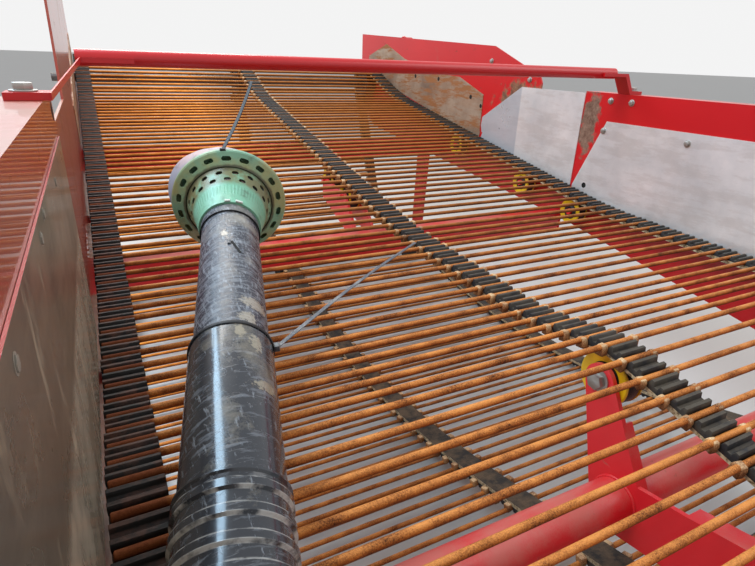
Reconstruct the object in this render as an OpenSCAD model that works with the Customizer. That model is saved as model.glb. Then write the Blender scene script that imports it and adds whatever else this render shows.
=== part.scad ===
// Sieving web unit of a potato harvester: an endless web of steel rods on three
// cleated belts runs uphill between two side walls, and the machine's drive shaft
// is stowed on it, over the crest of the web.
// Lengths are in millimetres. Sizes are set out from the nose roller's axis, on the
// middle plane of the channel: x to the right, y to the rear, z up. The unit is then
// moved so that the origin lies on the left pivot's outer face.

/* [Web] */
// Diameter of a rod
rod_d = 10.5; // [8:0.5:12]
// Distance from rod to rod along the web
rod_pitch = 40; // [36:1:50]
// Clear width between the side walls
channel_w = 1514; // [1300:1:1600]
// Clearance between a rod's end and the wall liner
rod_end_gap = 6; // [4:1:12]
// Width of a belt
belt_w = 56; // [45:1:60]
// Thickness of a belt
belt_t = 9; // [7:1:10]
// Clearance between a belt's edge and the wall liner
belt_edge_gap = 4; // [3:1:10]

/* [Rollers] */
// Radius of a nose roller
nose_roller_r = 64; // [55:1:70]
// Radius of a cog wheel on the drive shaft
drive_cog_r = 80; // [70:1:86]
// Radius of an agitator roller
shaker_roller_r = 47; // [40:1:50]
// Radius of a support roller
support_roller_r = 42.5; // [36:0.5:45]
// Radius of a return roller
return_roller_r = 64; // [55:1:70]
// Width of the support, agitator and return rollers
roller_w = 40; // [30:1:48]
// Diameter of the roller pins
pin_d = 20; // [16:1:24]
// Diameter of the nose and return axles
axle_d = 30; // [25:1:35]
// Diameter of the web's drive axle
drive_d = 40; // [35:1:45]
// Diameter of the drive axle's two ends
drive_end_d = 35; // [30:1:38]

/* [Walls] */
// Thickness of a side wall
wall_t = 5; // [4:0.5:8]
// Thickness of a bolted liner or wear plate
liner_t = 2; // [1.5:0.5:3]
// Height of the front walls' top edge above the nose axis
wall_top = 640; // [600:1:680]
// Width of the walls' top flange
flange_w = 62; // [40:1:80]
// Length of the pivot bosses
boss_l = 40; // [30:1:60]
// Diameter of the pivot bosses
boss_d = 96; // [80:1:120]
// Diameter of the pivot bores
pivot_d = 50; // [40:1:60]

/* [Frame] */
// Diameter of the agitator's cross tube
shaker_tube_d = 76; // [60:1:90]
// Side of the square cross beams
beam_s = 70; // [50:1:80]
// Diameter of the guard bar over the channel
bar_d = 30; // [25:1:40]
// Thickness of the brackets and levers
plate_t = 8; // [6:1:12]

/* [Drive shaft] */
// Diameter of the outer guard tube
guard_d = 100; // [90:1:104]
// Diameter of the inner guard tube
inner_guard_d = 92; // [80:1:94]
// Diameter of the ribbed collar
collar_d = 108; // [104:1:110]
// Diameter of the guard cone's outer ring
cone_d = 204; // [180:1:220]
// Diameter of the cup round the rear joint
cup_d = 168; // [150:1:180]
// Diameter of the outer profile tube
profile_d = 60; // [50:1:64]
// Diameter of the inner profile tube
inner_profile_d = 50; // [40:1:52]
// Diameter of the splined bores at both ends
spline_d = 35; // [30:1:40]

/* [Hidden] */

$fn = 48;
seat = 0.3;         // gap between pieces that rest on each other
run_fit = 0.05;     // radial clearance of a shaft in its bearing
slide_fit = 0.3;    // radial clearance of the telescoping tubes
facet_sag = 0.12;   // how far an outline's chord leaves its arc
eps = 1;            // how far a cut runs past a face

half_w = channel_w / 2;
rod_r = rod_d / 2;
liner_x = half_w - seat - liner_t;               // inner face of a liner
rod_l = 2 * (liner_x - rod_end_gap);
belt_x = liner_x - belt_edge_gap - belt_w / 2;   // middle of an outer belt
belt_top = rod_r + seat;                         // from the rods' path to the belt's top
belt_in = belt_top + belt_t;                     // to the belt's running side

// Places, from the nose axis
wall_seam = 1746;          // where the right front wall ends
left_seam = 1330;          // where the left front wall ends
left_flange_end = 1250;
right_top = 626;           // height of the right front wall
wall_front = -115;
wall_back = 3480;
drive_y = wall_back - 120;
drive_z = 575;
drive_end_l = 55;
bearing_t = 22;            // thickness of the bearing housings
crest_y = 890;
crest_z = 226;
front_return = [740, -176];
rear_return = [drive_y - 590, -240];
shaker_axis = [812, 40];
pivot = [3000, 760];

// The lower strand hangs in a flatter arc where the return rollers stand further apart
sag_y = (front_return[0] + rear_return[0]) / 2 + 95;
sag_r = pow(rear_return[0] - front_return[0], 2) / 1401.19007;
sag_low = -301;

// The rods' path: y, z, radius, and 1 where the loop goes round or -1 where it leans
path = [
  [0, 0, nose_roller_r + seat + belt_in, 1],
  [crest_y, crest_z, shaker_roller_r + seat + belt_in, 1],
  [1115, 858, 600, -1],
  [1396, 1771, 1500, -1],
  [drive_y - 801, 1975, 1500, -1],
  [drive_y, drive_z, drive_cog_r + seat + belt_in, 1],
  [drive_y - 400, 130, 300, 1],
  [rear_return[0], rear_return[1], return_roller_r + seat + rod_r, -1],
  [sag_y, sag_low + sag_r, sag_r, 1],
  [front_return[0], front_return[1], return_roller_r + seat + rod_r, -1]
];
count = len(path);

function side_r(c) = c[2] * c[3];
function left_of(a) = [-sin(a), cos(a)];
function ahead(a) = [cos(a), sin(a)];
function positive(a) = a - 360 * floor(a / 360);
headings = [for (i = [0:count - 1])
  let (a = path[i], b = path[(i + 1) % count], dy = b[0] - a[0], dz = b[1] - a[1])
  atan2(dz, dy) - asin((side_r(a) - side_r(b)) / norm([dy, dz]))];
turns = [for (i = [0:count - 1])
  positive((headings[(i + count - 1) % count] - headings[i]) * path[i][3])];
arcs = [for (i = [0:count - 1]) turns[i] * PI / 180 * path[i][2]];
spans = [for (i = [0:count - 1])
  let (a = path[i], b = path[(i + 1) % count])
  sqrt(pow(b[0] - a[0], 2) + pow(b[1] - a[1], 2) - pow(side_r(a) - side_r(b), 2))];
function start_of(i) = i == 0 ? 0 : start_of(i - 1) + arcs[i - 1] + spans[i - 1];
starts = [for (i = [0:count - 1]) start_of(i)];
loop_l = start_of(count - 1) + arcs[count - 1] + spans[count - 1];

// A point of the loop shifted d to its inner side, as y, z and heading
function arc_point(i, turn, d) =
  let (h = headings[(i + count - 1) % count] - path[i][3] * turn,
       p = [path[i][0], path[i][1]] + (side_r(path[i]) - d) * left_of(h))
  [p[0], p[1], h];
function leg_point(i, s, d) =
  let (p = arc_point(i, turns[i], d), q = [p[0], p[1]] + s * ahead(headings[i]))
  [q[0], q[1], headings[i]];
function leg_of(s) = max([for (i = [0:count - 1]) if (starts[i] <= s) i]);
function web_at(s, d = 0) =
  let (w = s - loop_l * floor(s / loop_l), i = leg_of(w), t = w - starts[i])
  t < arcs[i] ? arc_point(i, turns[i] * t / arcs[i], d) : leg_point(i, t - arcs[i], d);

// Distance along the upper strand at which the web reaches y
upper_end = starts[5] + 10;
function reach(y, lo = arcs[0], hi = upper_end, n = 30) =
  n == 0 ? (lo + hi) / 2
  : web_at((lo + hi) / 2)[0] < y ? reach(y, (lo + hi) / 2, hi, n - 1)
  : reach(y, lo, (lo + hi) / 2, n - 1);

rod_count = round(loop_l / rod_pitch);
rod_step = loop_l / rod_count;
crest_s = starts[1] + arcs[1] * 0.7;
rods = [for (i = [0:rod_count - 1]) web_at(crest_s + i * rod_step)];

// The loop's outline at depth d below the rods' path
function steps_of(i) = max(1, ceil(arcs[i] / sqrt(8 * path[i][2] * facet_sag)));
function outline(d) = [for (i = [0:count - 1], k = [0:steps_of(i)])
  let (p = arc_point(i, turns[i] * k / steps_of(i), d)) [p[0], p[1]]];

// Places of the rollers under the upper strand, by y
left_supports = [1250, 1931, 2372];
mid_supports = [1944, 2091];
right_supports = [1670, 1931, 2372];
function roller_seat(y) = web_at(reach(y), belt_in + seat + support_roller_r);

// Where the shaft lies: its heading from the y axis, its slope, and the place where
// it passes the plane y = shaft_y
shaft_yaw = 13.1;
shaft_slope = 11.2;
shaft_x = 99 - half_w;
shaft_y = 721;
collar_end = 60;
shaft_normal = [-sin(shaft_slope), cos(shaft_slope)];
shaft_pitch = atan(tan(shaft_slope) * cos(shaft_yaw));
// The highest line that a rod's top touches, under the guard or under the collar
function guard_r_over(y) = (y < shaft_y + collar_end + eps ? collar_d : guard_d) / 2;
shaft_lie = max([for (p = rods)
  if (p[0] > shaft_y - 150 && p[0] < shaft_y + 300 && p[1] > 0)
  [p[0], p[1]] * shaft_normal + guard_r_over(p[0])]) + rod_r + seat;
shaft_z = (shaft_lie + shaft_y * sin(shaft_slope)) / cos(shaft_slope);

// Moves the unit so that the left pivot's outer face is the origin
module placed() {
  translate([half_w + wall_t + boss_l, -pivot[0], -pivot[1]]) children();
}

// A plate in the y-z plane whose near face to the middle is at x, on side s
module side_plate(s, x, t, points) {
  translate([s > 0 ? x : -x - t, 0, 0]) rotate([90, 0, 90])
    linear_extrude(t) polygon(points);
}

// A round bar or hole along x, centred on x
module cross_round(x, at, d, l) {
  translate([x - l / 2, at[0], at[1]]) rotate([0, 90, 0]) cylinder(d = d, h = l);
}

// Axis of the drive shaft: x runs along it, to the rear
module on_shaft() {
  translate([shaft_x, shaft_y, shaft_z])
    rotate([0, -shaft_pitch, 90 - shaft_yaw]) children();
}

module shaft_ring(from, to, d, bore) {
  translate([from, 0, 0]) rotate([0, 90, 0]) difference() {
    cylinder(d = d, h = to - from);
    translate([0, 0, -eps]) cylinder(d = bore, h = to - from + 2 * eps);
  }
}

// Height of the walls' lower edge, which rises along the web
function wall_low(y) = 80 + 0.152 * (y - 1042);

flange_from = 150;
module front_wall(s, seam, top, flange_end) {
  color("firebrick") difference() {
    union() {
      side_plate(s, half_w, wall_t, [
        [wall_front, -60], [120, -90], [1042, wall_low(1042)], [seam, wall_low(seam)],
        [seam, top], [flange_from, top], [wall_front, 240]]);
      translate([s > 0 ? half_w + wall_t - eps : -half_w - wall_t - flange_w + eps,
                 flange_from, top - wall_t])
        cube([flange_w, flange_end - flange_from, wall_t]);
    }
    cross_round(s * (half_w + wall_t / 2), [0, 0], axle_d + 2 * run_fit, wall_t + 2 * eps);
    cross_round(s * (half_w + wall_t / 2), shaker_axis, shaker_stub_d + 2, wall_t + 2 * eps);
  }
}
module rear_wall(s, seam, tops) {
  color("firebrick") difference() {
    side_plate(s, half_w, wall_t, concat([
      [seam + seat, wall_low(seam)], [wall_back - 180, 340], [wall_back, 460]], tops));
    cross_round(s * (half_w + wall_t / 2), [drive_y, drive_z], drive_d + 2, wall_t + 2 * eps);
  }
}
module left_wall() front_wall(-1, left_seam, wall_top, left_flange_end);
module right_wall() front_wall(1, wall_seam, right_top, wall_seam);
module left_rear_wall() rear_wall(-1, left_seam,
  [[wall_back, 960], [left_seam + 530, 960], [left_seam + 410, 600], [left_seam + seat, 600]]);
module right_rear_wall() rear_wall(1, wall_seam,
  [[wall_back, 830], [wall_seam + 504, 764], [wall_seam + 224, 662], [wall_seam + 212, 640],
   [wall_seam + 214, 590], [wall_seam + seat, 590]]);

module left_liner() color("gray")
  side_plate(-1, liner_x, liner_t, [
    [160, 150], [800, 280], [1000, 270], [left_seam - 10, 262], [left_seam - 10, 580], [160, 580]]);
module right_liner() color("silver")
  side_plate(1, liner_x, liner_t, [
    [160, 150], [800, 280], [1000, 270], [wall_seam - 266, 272], [wall_seam - 9, 306],
    [wall_seam - 9, 319], [wall_seam - 106, 541], [160, 541]]);
module right_guide_plate() color("silver")
  side_plate(1, liner_x, liner_t, [
    [wall_seam, 300], [wall_seam + 454, 400], [wall_seam + 530, 430], [wall_seam + 538, 455],
    [wall_seam + 534, 490], [wall_seam + 314, 621], [wall_seam, 621]]);
module wear_plate(s, tops) color("saddlebrown")
  side_plate(s, liner_x, liner_t, concat([
    [wear_from, 430], [wall_back - 100, 660]], tops));
wear_from = wall_seam + 544;
module left_wear_plate() wear_plate(-1, [[wall_back - 100, 760], [wear_from, 540]]);
module right_wear_plate() wear_plate(1, [
  [wall_back - 100, 716], [wall_back - 308, 776], [wall_back - 512, 705], [wall_back - 847, 646],
  [wall_back - 1008, 640], [wear_from, 578]]);

module pivot_boss(s) {
  color("firebrick") translate([s * (half_w + wall_t + boss_l / 2), 0, 0]) difference() {
    cross_round(0, pivot, boss_d, boss_l);
    cross_round(0, pivot, pivot_d, boss_l + 2 * eps);
  }
}
module left_pivot_boss() pivot_boss(-1);
module right_pivot_boss() pivot_boss(1);

// Guard bar: a tube over the channel on two cranked straps; the left strap's foot
// lies on the end of the flange, further forward than the bar
bar_y = 1600;
bar_z = wall_top + 44;
bar_left = half_w - 36;
bar_right = half_w - 60;
strap_t = 9;
strap_w = 44;
strap_z = bar_z - 4 - strap_t / 2;
foot_l = 54;
left_foot_l = 40;
left_foot_y = left_flange_end - 50;
right_foot_z = right_top + seat;
module strap_block(x, y, z, l) {
  translate([x, y - strap_w / 2, z]) cube([l, strap_w, strap_t]);
}
module guard_bar() {
  color("firebrick") {
    cross_round((bar_right - bar_left) / 2, [bar_y, bar_z], bar_d, bar_left + bar_right);
    strap_block(7 - bar_left, bar_y, strap_z, 92);
    hull() {
      strap_block(7 - bar_left, bar_y, strap_z, 2);
      strap_block(8 - half_w, left_foot_y, wall_top + seat, 2);
    }
    strap_block(-half_w - left_foot_l, left_foot_y, wall_top + seat, left_foot_l + 10);
    translate([0, bar_y + strap_w / 2, 0]) rotate([90, 0, 0]) linear_extrude(strap_w)
      polygon([[bar_right - 60, strap_z], [half_w - 30, strap_z], [half_w + 2, right_foot_z],
        [half_w + foot_l, right_foot_z], [half_w + foot_l, right_foot_z + strap_t],
        [half_w + 10, right_foot_z + strap_t], [half_w - 20, strap_z + strap_t],
        [bar_right - 60, strap_z + strap_t]]);
  }
}

module beam(y, z) {
  color("firebrick") translate([-half_w + seat, y - beam_s / 2, z - beam_s / 2])
    cube([2 * (half_w - seat), beam_s, beam_s]);
}
front_beam_at = [330, 0];
mid_beam_at = [1800, 180];
rear_beam_at = [drive_y - 810, 340];
module front_beam() beam(front_beam_at[0], front_beam_at[1]);
module mid_beam() beam(mid_beam_at[0], mid_beam_at[1]);
module rear_beam() beam(rear_beam_at[0], rear_beam_at[1]);

// Brackets: a plate from the beams or the wall to the rollers' pins
module roller_pins(x, places, l) {
  for (y = places) let (p = roller_seat(y)) cross_round(x, p, pin_d, l);
}
module rollers(x, places) {
  for (y = places) let (p = roller_seat(y))
    translate([x - roller_w / 2, p[0], p[1]]) rotate([0, 90, 0])
      roller(support_roller_r, roller_w, pin_d + 2 * run_fit);
}
module roller(r, w, bore) {
  rotate_extrude() polygon([[bore / 2, 0], [r * 0.55, 0], [r * 0.6, w * 0.12], [r * 0.8, w * 0.12],
    [r * 0.85, 0], [r - 2, 0], [r, 2], [r, w - 2], [r - 2, w], [r * 0.85, w],
    [r * 0.8, w * 0.88], [r * 0.6, w * 0.88], [r * 0.55, w], [bore / 2, w]]);
}
module left_support_rollers() color("gold") rollers(-belt_x, left_supports);
module mid_support_rollers() color("gold") rollers(0, mid_supports);
module right_support_rollers() color("gold") rollers(belt_x, right_supports);
module wall_bracket(s, places) {
  color("firebrick") roller_pins(s * (half_w + belt_x - roller_w / 2 - 6) / 2, places,
    half_w - (belt_x - roller_w / 2 - 6) - 2 * seat);
}
module left_roller_bracket() wall_bracket(-1, left_supports);
module right_roller_bracket() wall_bracket(1, right_supports);
module mid_roller_bracket() {
  color("firebrick") for (s = [-1, 1]) {
    translate([s * (roller_w / 2 + 6 + plate_t / 2), 0, 0]) side_plate(1, -plate_t / 2, plate_t, [
      [mid_beam_at[0] + 35.3, 160], [2110, 250], [2110, 320], [1925, 300], [mid_beam_at[0] + 35.3, 200]]);
  }
  color("silver") roller_pins(0, mid_supports, roller_w + 12 + 2 * plate_t + 12);
}

// Axles and what turns on them
module axle_rollers(at, r, w, bore) {
  for (x = [-belt_x, 0, belt_x])
    translate([x - w / 2, at[0], at[1]]) rotate([0, 90, 0]) roller(r, w, bore);
}
module nose_axle() color("dimgray") cross_round(0, [0, 0], axle_d, channel_w + 2 * wall_t + 40);
module nose_rollers() color("black") axle_rollers([0, 0], nose_roller_r, belt_w, axle_d + 2 * run_fit);
hanger_x = half_w + wall_t + seat;
hanger_axle_l = 2 * (hanger_x + plate_t + 4);
module front_return_axle() color("dimgray") cross_round(0, front_return, axle_d, hanger_axle_l);
module rear_return_axle() color("dimgray") cross_round(0, rear_return, axle_d, hanger_axle_l);
module return_hangers() color("firebrick") for (s = [-1, 1], at = [front_return, rear_return])
  difference() {
    side_plate(s, hanger_x, plate_t, [
      [at[0] - 45, at[1] - 20], [at[0], at[1] - 45], [at[0] + 45, at[1] - 20],
      [at[0] + 20, wall_low(at[0]) + 90], [at[0] - 90, wall_low(at[0]) + 90]]);
    cross_round(s * (hanger_x + plate_t / 2), at, axle_d + 2 * run_fit, plate_t + 2 * eps);
  }
module return_rollers() color("black") for (at = [front_return, rear_return])
  axle_rollers(at, return_roller_r, roller_w, axle_d + 2 * run_fit);
drive_l = channel_w + 2 * wall_t + 70;
module drive_axle() color("dimgray") {
  cross_round(0, [drive_y, drive_z], drive_d, drive_l);
  cross_round(0, [drive_y, drive_z], drive_end_d, drive_l + 2 * drive_end_l);
}
module drive_cogs() color("black")
  axle_rollers([drive_y, drive_z], drive_cog_r, belt_w, drive_d + 2 * run_fit);
module drive_bearings() color("silver") for (s = [-1, 1]) difference() {
  cross_round(s * (half_w + wall_t + 15), [drive_y, drive_z], 120, 30);
  cross_round(s * (half_w + wall_t + 15), [drive_y, drive_z], drive_d + 2 * run_fit, 32);
}

// The web
module web_rods() color("peru") for (p = rods) cross_round(0, p, rod_d, rod_l, $fn = 16);
module belt(x) {
  color("black") translate([x - belt_w / 2, 0, 0]) rotate([90, 0, 90])
    linear_extrude(belt_w) difference() {
      polygon(outline(belt_top));
      polygon(outline(belt_in));
    }
}
module left_belt() belt(-belt_x);
module mid_belt() belt(0);
module right_belt() belt(belt_x);

// Agitator: a cross tube with arms that carry rollers under the belts, and a lever
// that reaches forward from the middle arm
shaker_stub_d = 40;
arm_lip = 22;
arm_gap = roller_w / 2 + 5;
arm_foot_d = shaker_tube_d + 30;
arm_head_d = 56;
crest = [crest_y, crest_z];
module cross_plate(x) {
  translate([x - plate_t / 2, 0, 0]) rotate([90, 0, 90]) linear_extrude(plate_t) difference() {
    children();
    translate(crest) circle(d = pin_d + 2 * run_fit);
  }
}
module shaker_arm(x) {
  cross_plate(x) hull() {
    translate(shaker_axis) circle(d = arm_foot_d);
    translate(crest) circle(d = arm_head_d);
  }
}
// The middle arm's front edge and the lever's top edge are folded over to the right
arm_slope = atan2(crest_z - shaker_axis[1], crest_y - shaker_axis[0]);
arm_taper = asin((arm_foot_d - arm_head_d) / 2 / norm(crest - shaker_axis));
arm_edge = arm_slope - arm_taper + 90;
arm_fold_l = 128;
lever = [[850, 78], [798, -24], [708, -4], [596, 22], [566, 52], [566, 118], [613, 127], [702, 106]];
module middle_arm() {
  x = -arm_gap - plate_t / 2;
  shaker_arm(-arm_gap);
  cross_plate(-arm_gap) polygon(lever);
  translate([x, shaker_axis[0] + cos(arm_edge) * arm_foot_d / 2, shaker_axis[1] + sin(arm_edge) * arm_foot_d / 2])
    rotate([arm_edge - 90, 0, 0]) translate([0, 0, -5]) cube([arm_lip, arm_fold_l, 5]);
  for (k = [0, 1]) {
    a = lever[5 + k];
    b = lever[6 + k];
    translate([x, a[0], a[1]]) rotate([atan2(b[1] - a[1], b[0] - a[0]), 0, 0])
      translate([0, 0, -5]) cube([arm_lip + 12, norm(b - a), 5]);
  }
}
shaker_x = [-belt_x, 0, belt_x];
module shaker_frame() {
  color("firebrick") union() {
    cross_round(0, shaker_axis, shaker_tube_d, channel_w - 60);
    cross_round(0, shaker_axis, shaker_stub_d, channel_w + 2 * (wall_t + bearing_t));
    for (s = [-1, 1]) shaker_arm(s * (belt_x - arm_gap));
    middle_arm();
  }
}
module shaker_rollers() for (x = shaker_x) {
  color("gold") translate([x - roller_w / 2, crest_y, crest_z]) rotate([0, 90, 0])
    roller(shaker_roller_r, roller_w, pin_d + 2 * run_fit);
  out = roller_w / 2 + 2;
  in = arm_gap + plate_t / 2 + 6;
  low = x - (x < 0 ? out : in);
  high = x + (x < 0 ? in : out);
  color("silver") cross_round((low + high) / 2, crest, pin_d, high - low);
}
module shaker_bearings() color("silver") for (s = [-1, 1]) difference() {
  cross_round(s * (half_w + wall_t + bearing_t / 2), shaker_axis, 90, bearing_t);
  cross_round(s * (half_w + wall_t + bearing_t / 2), shaker_axis,
    shaker_stub_d + 2 * run_fit, bearing_t + 2 * eps);
}

// Stowed drive shaft, by the distance along its axis
guard_from = 12;
guard_to = 269;
inner_from = 100;
inner_to = 640;
hub_from = 588;
hub_to = 640;
rim_at = 706;
shell = 3;
front_joint = -110;
rear_joint = 748;
joint_roll = -38;          // of the rear joint round the shaft
joint_bend = 35;           // of its loose end, down and to the left
cross_d = 22;
yoke_in = 34;              // middle of a yoke's ears
fork_in = 32;              // middle of a fork's arms
collar_r = collar_d / 2;
cone_r = cone_d / 2;
cup_r = cup_d / 2;
inner_r = inner_guard_d / 2;
ring_holes = 18;
cone_holes = 16;
cone_rows = [12, 28, 52];  // from the hub's rear end
cone_flare = (cone_r - 19 - inner_r - 14) / (rim_at - shell - hub_to + 4);

module outer_guard() color("#2d3033") on_shaft()
  shaft_ring(guard_from, guard_to, guard_d, inner_guard_d + 2 * slide_fit);
module guard_collar() color("#2d3033") on_shaft() rotate([0, 90, 0]) rotate_extrude()
  polygon(concat(
    [[profile_d / 2 + run_fit, -40], [collar_r - 12, -40]],
    [for (z = [-26, -2, 22, 46], p = [[-3, -6], [0, -4], [0, 4], [-3, 6]]) [collar_r + p[0], z + p[1]]],
    [[collar_r - 2, collar_end - 4], [collar_r, collar_end - 2], [collar_r, collar_end],
     [guard_d / 2 + run_fit, collar_end], [guard_d / 2 + run_fit, guard_from - seat],
     [profile_d / 2 + run_fit, guard_from - seat]]));
module inner_guard() color("#2d3033") on_shaft() {
  shaft_ring(inner_from, inner_to, inner_guard_d, inner_guard_d - 6);
  shaft_ring(hub_from - 24, hub_from - seat, inner_guard_d + 4, inner_guard_d - 2);
}

// Guard cone: a hub on the inner tube, a steep cone, and a rim folded forward and in;
// holes run round the rim and in three rows round the cone
module slot_hole(l, d, h) {
  for (s = [-1, 1]) translate([0, s * (l - d) / 2, 0]) cylinder(d = d, h = h);
  translate([-d / 2, (d - l) / 2, 0]) cube([d, l - d, h]);
}
module guard_cone() color("darkseagreen") on_shaft() rotate([0, 90, 0]) difference() {
  rotate_extrude() polygon([
    [inner_r + run_fit, hub_from], [inner_r + 5.5, hub_from], [inner_r + 14, hub_to - 4],
    [cone_r - 19, rim_at - shell], [cone_r - 6, rim_at - shell], [cone_r - 5, rim_at - 13],
    [cone_r - 26, rim_at - 24], [cone_r - 25, rim_at - 27], [cone_r - 2, rim_at - 17],
    [cone_r, rim_at - 15], [cone_r, rim_at - 8], [cone_r - 3, rim_at - 5], [cone_r - 3, rim_at],
    [cone_r - 22, rim_at], [inner_r + 12, hub_to], [inner_r + run_fit, hub_to]]);
  for (i = [0:ring_holes - 1]) rotate(i * 360 / ring_holes)
    translate([cone_r - 13, 0, rim_at - 26]) slot_hole(17, 8.5, 16);
  for (row = [0:2], i = [0:cone_holes - 1])
    rotate((i + row / 2) * 360 / cone_holes)
      translate([inner_r + 7 + cone_flare * cone_rows[row], 0, hub_to + cone_rows[row]])
        rotate([0, 90, 0]) slot_hole(12, 8, 13);
}
module front_tube() color("gray") on_shaft()
  shaft_ring(-70, 250, profile_d, inner_profile_d + 2 * slide_fit);
module front_yoke() color("gray") on_shaft() {
  rotate([0, 90, 0]) translate([0, 0, -88]) cylinder(d = profile_d, h = 18 - seat);
  for (s = [-1, 1]) translate([-130, s * yoke_in - 6, -20]) cube([50, 12, 40]);
  translate([front_joint, 0, 0]) rotate([90, 0, 0]) cylinder(d = cross_d, h = 60, center = true);
  translate([front_joint, 0, 0]) cylinder(d = cross_d, h = 74, center = true);
}
module fork(at, s) {
  translate([at, 0, 0]) difference() {
    union() {
      for (k = [-1, 1]) translate([s > 0 ? -18 : -60, -18, k * fork_in - 6]) cube([78, 36, 12]);
      translate([s > 0 ? 50 : -85, 0, 0]) rotate([0, 90, 0]) cylinder(d = 78, h = 35);
    }
    translate([s > 0 ? 40 : -86, 0, 0]) rotate([0, 90, 0]) cylinder(d = spline_d, h = 46);
    cylinder(d = cross_d + 2 * run_fit, h = 90, center = true);
  }
}
module front_fork() color("gray") on_shaft() fork(front_joint, -1);
module rear_yoke() color("gray") on_shaft() rotate([joint_roll, 0, 0]) {
  translate([60, 0, 0]) rotate([0, 90, 0]) cylinder(d = inner_profile_d, h = rear_joint - 100);
  for (s = [-1, 1]) translate([rear_joint - 40, s * yoke_in - 6, -20]) cube([60, 12, 40]);
  translate([rear_joint - 48, 0, 0]) rotate([0, 90, 0]) cylinder(d = 80, h = 16);
  translate([rear_joint, 0, 0]) rotate([90, 0, 0]) cylinder(d = cross_d, h = 60, center = true);
  translate([rear_joint, 0, 0]) cylinder(d = cross_d, h = 74, center = true);
}
module bent() {
  on_shaft() rotate([joint_roll, 0, 0]) translate([rear_joint, 0, 0]) rotate([0, 0, joint_bend])
    children();
}
module rear_fork() color("gray") bent() fork(0, 1);
// The cup is carried by the fork's hub and reaches forward round the joint
module guard_cup() color("rosybrown") bent() rotate([0, 90, 0]) rotate_extrude()
  polygon([[39 + run_fit, 60], [cup_r - 4, 60], [cup_r - 8, -8], [cup_r - 6, -10], [cup_r - 3, 0],
    [cup_r, 20], [cup_r, 70], [cup_r - 4, 108], [cup_r - 8, 112], [cup_r - 5, 68], [39 + run_fit, 68]]);

placed() left_wall();
placed() left_liner();
placed() left_rear_wall();
placed() left_wear_plate();
placed() right_wall();
placed() right_liner();
placed() right_guide_plate();
placed() right_rear_wall();
placed() right_wear_plate();
placed() left_pivot_boss();
placed() right_pivot_boss();
placed() guard_bar();
placed() front_beam();
placed() mid_beam();
placed() rear_beam();
placed() left_roller_bracket();
placed() mid_roller_bracket();
placed() right_roller_bracket();
placed() left_support_rollers();
placed() mid_support_rollers();
placed() right_support_rollers();
placed() nose_axle();
placed() nose_rollers();
placed() front_return_axle();
placed() rear_return_axle();
placed() return_rollers();
placed() return_hangers();
placed() drive_axle();
placed() drive_cogs();
placed() drive_bearings();
placed() web_rods();
placed() left_belt();
placed() mid_belt();
placed() right_belt();
placed() shaker_frame();
placed() shaker_rollers();
placed() shaker_bearings();
placed() outer_guard();
placed() guard_collar();
placed() inner_guard();
placed() guard_cone();
placed() guard_cup();
placed() front_tube();
placed() front_yoke();
placed() front_fork();
placed() rear_yoke();
placed() rear_fork();
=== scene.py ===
import math
import random

import bmesh
import bpy
from mathutils import Matrix, Vector


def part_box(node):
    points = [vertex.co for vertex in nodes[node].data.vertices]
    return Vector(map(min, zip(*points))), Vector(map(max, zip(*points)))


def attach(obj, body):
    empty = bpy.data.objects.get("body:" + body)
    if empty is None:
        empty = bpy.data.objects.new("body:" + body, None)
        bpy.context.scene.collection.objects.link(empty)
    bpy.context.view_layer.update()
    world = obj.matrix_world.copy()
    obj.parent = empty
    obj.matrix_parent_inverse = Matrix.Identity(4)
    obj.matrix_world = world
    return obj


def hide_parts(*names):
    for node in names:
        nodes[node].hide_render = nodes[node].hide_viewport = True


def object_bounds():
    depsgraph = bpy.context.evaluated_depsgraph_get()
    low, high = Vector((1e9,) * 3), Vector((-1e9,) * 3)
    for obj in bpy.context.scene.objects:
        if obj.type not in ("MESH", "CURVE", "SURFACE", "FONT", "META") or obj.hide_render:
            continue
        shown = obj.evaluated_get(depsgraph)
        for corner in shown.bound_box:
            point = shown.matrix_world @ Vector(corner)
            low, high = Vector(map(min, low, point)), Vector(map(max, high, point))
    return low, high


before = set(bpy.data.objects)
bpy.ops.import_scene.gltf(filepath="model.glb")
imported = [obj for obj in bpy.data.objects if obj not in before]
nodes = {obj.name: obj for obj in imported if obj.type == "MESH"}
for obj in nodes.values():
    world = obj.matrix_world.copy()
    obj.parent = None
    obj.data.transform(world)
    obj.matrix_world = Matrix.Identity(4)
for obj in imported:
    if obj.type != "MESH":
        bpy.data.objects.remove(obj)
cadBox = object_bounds()
print("frame loaded:", len(nodes), "CAD nodes")

mm = 0.001
random.seed(11)

# Camera: found from the vanishing points of the rods and of the side walls
cameraView = {
    "place": (0.097, -2.600, -0.060),
    "right": (0.8911, -0.4525, 0.0343),
    "up": (0.1479, 0.3611, 0.9207),
    "back": (-0.4290, -0.8154, 0.3887),
    "lens": 25.305,
    "sensor": 36.0,
    "pixels": (755, 566),
}


def makeCamera(view):
    data = bpy.data.cameras.new("photoCamera")
    data.lens = view["lens"]
    data.sensor_width = view["sensor"]
    data.sensor_fit = "HORIZONTAL"
    data.clip_start = 0.01
    camera = bpy.data.objects.new("photoCamera", data)
    bpy.context.scene.collection.objects.link(camera)
    turn = Matrix((view["right"], view["up"], view["back"])).transposed()
    camera.matrix_world = Matrix.Translation(view["place"]) @ turn.to_4x4()
    bpy.context.scene.camera = camera


makeCamera(cameraView)

# Places: the web's own frame starts at the nose axis on the middle plane, in mm;
# the stowed shaft's frame has x along it, y to its left and z up
noseAxis = Vector((0.802, -3.0, -0.76))
shaftLine = {"start": Vector((0.144, -2.279, -0.44737)), "along": Vector((0.22255, 0.95636, 0.18937)),
             "left": Vector((-0.97398, 0.22665, 0.0)), "up": Vector((-0.04292, -0.18444, 0.98191))}


def webSpot(x, y, z):
    return noseAxis + Vector((x, y, z)) * mm


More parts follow.
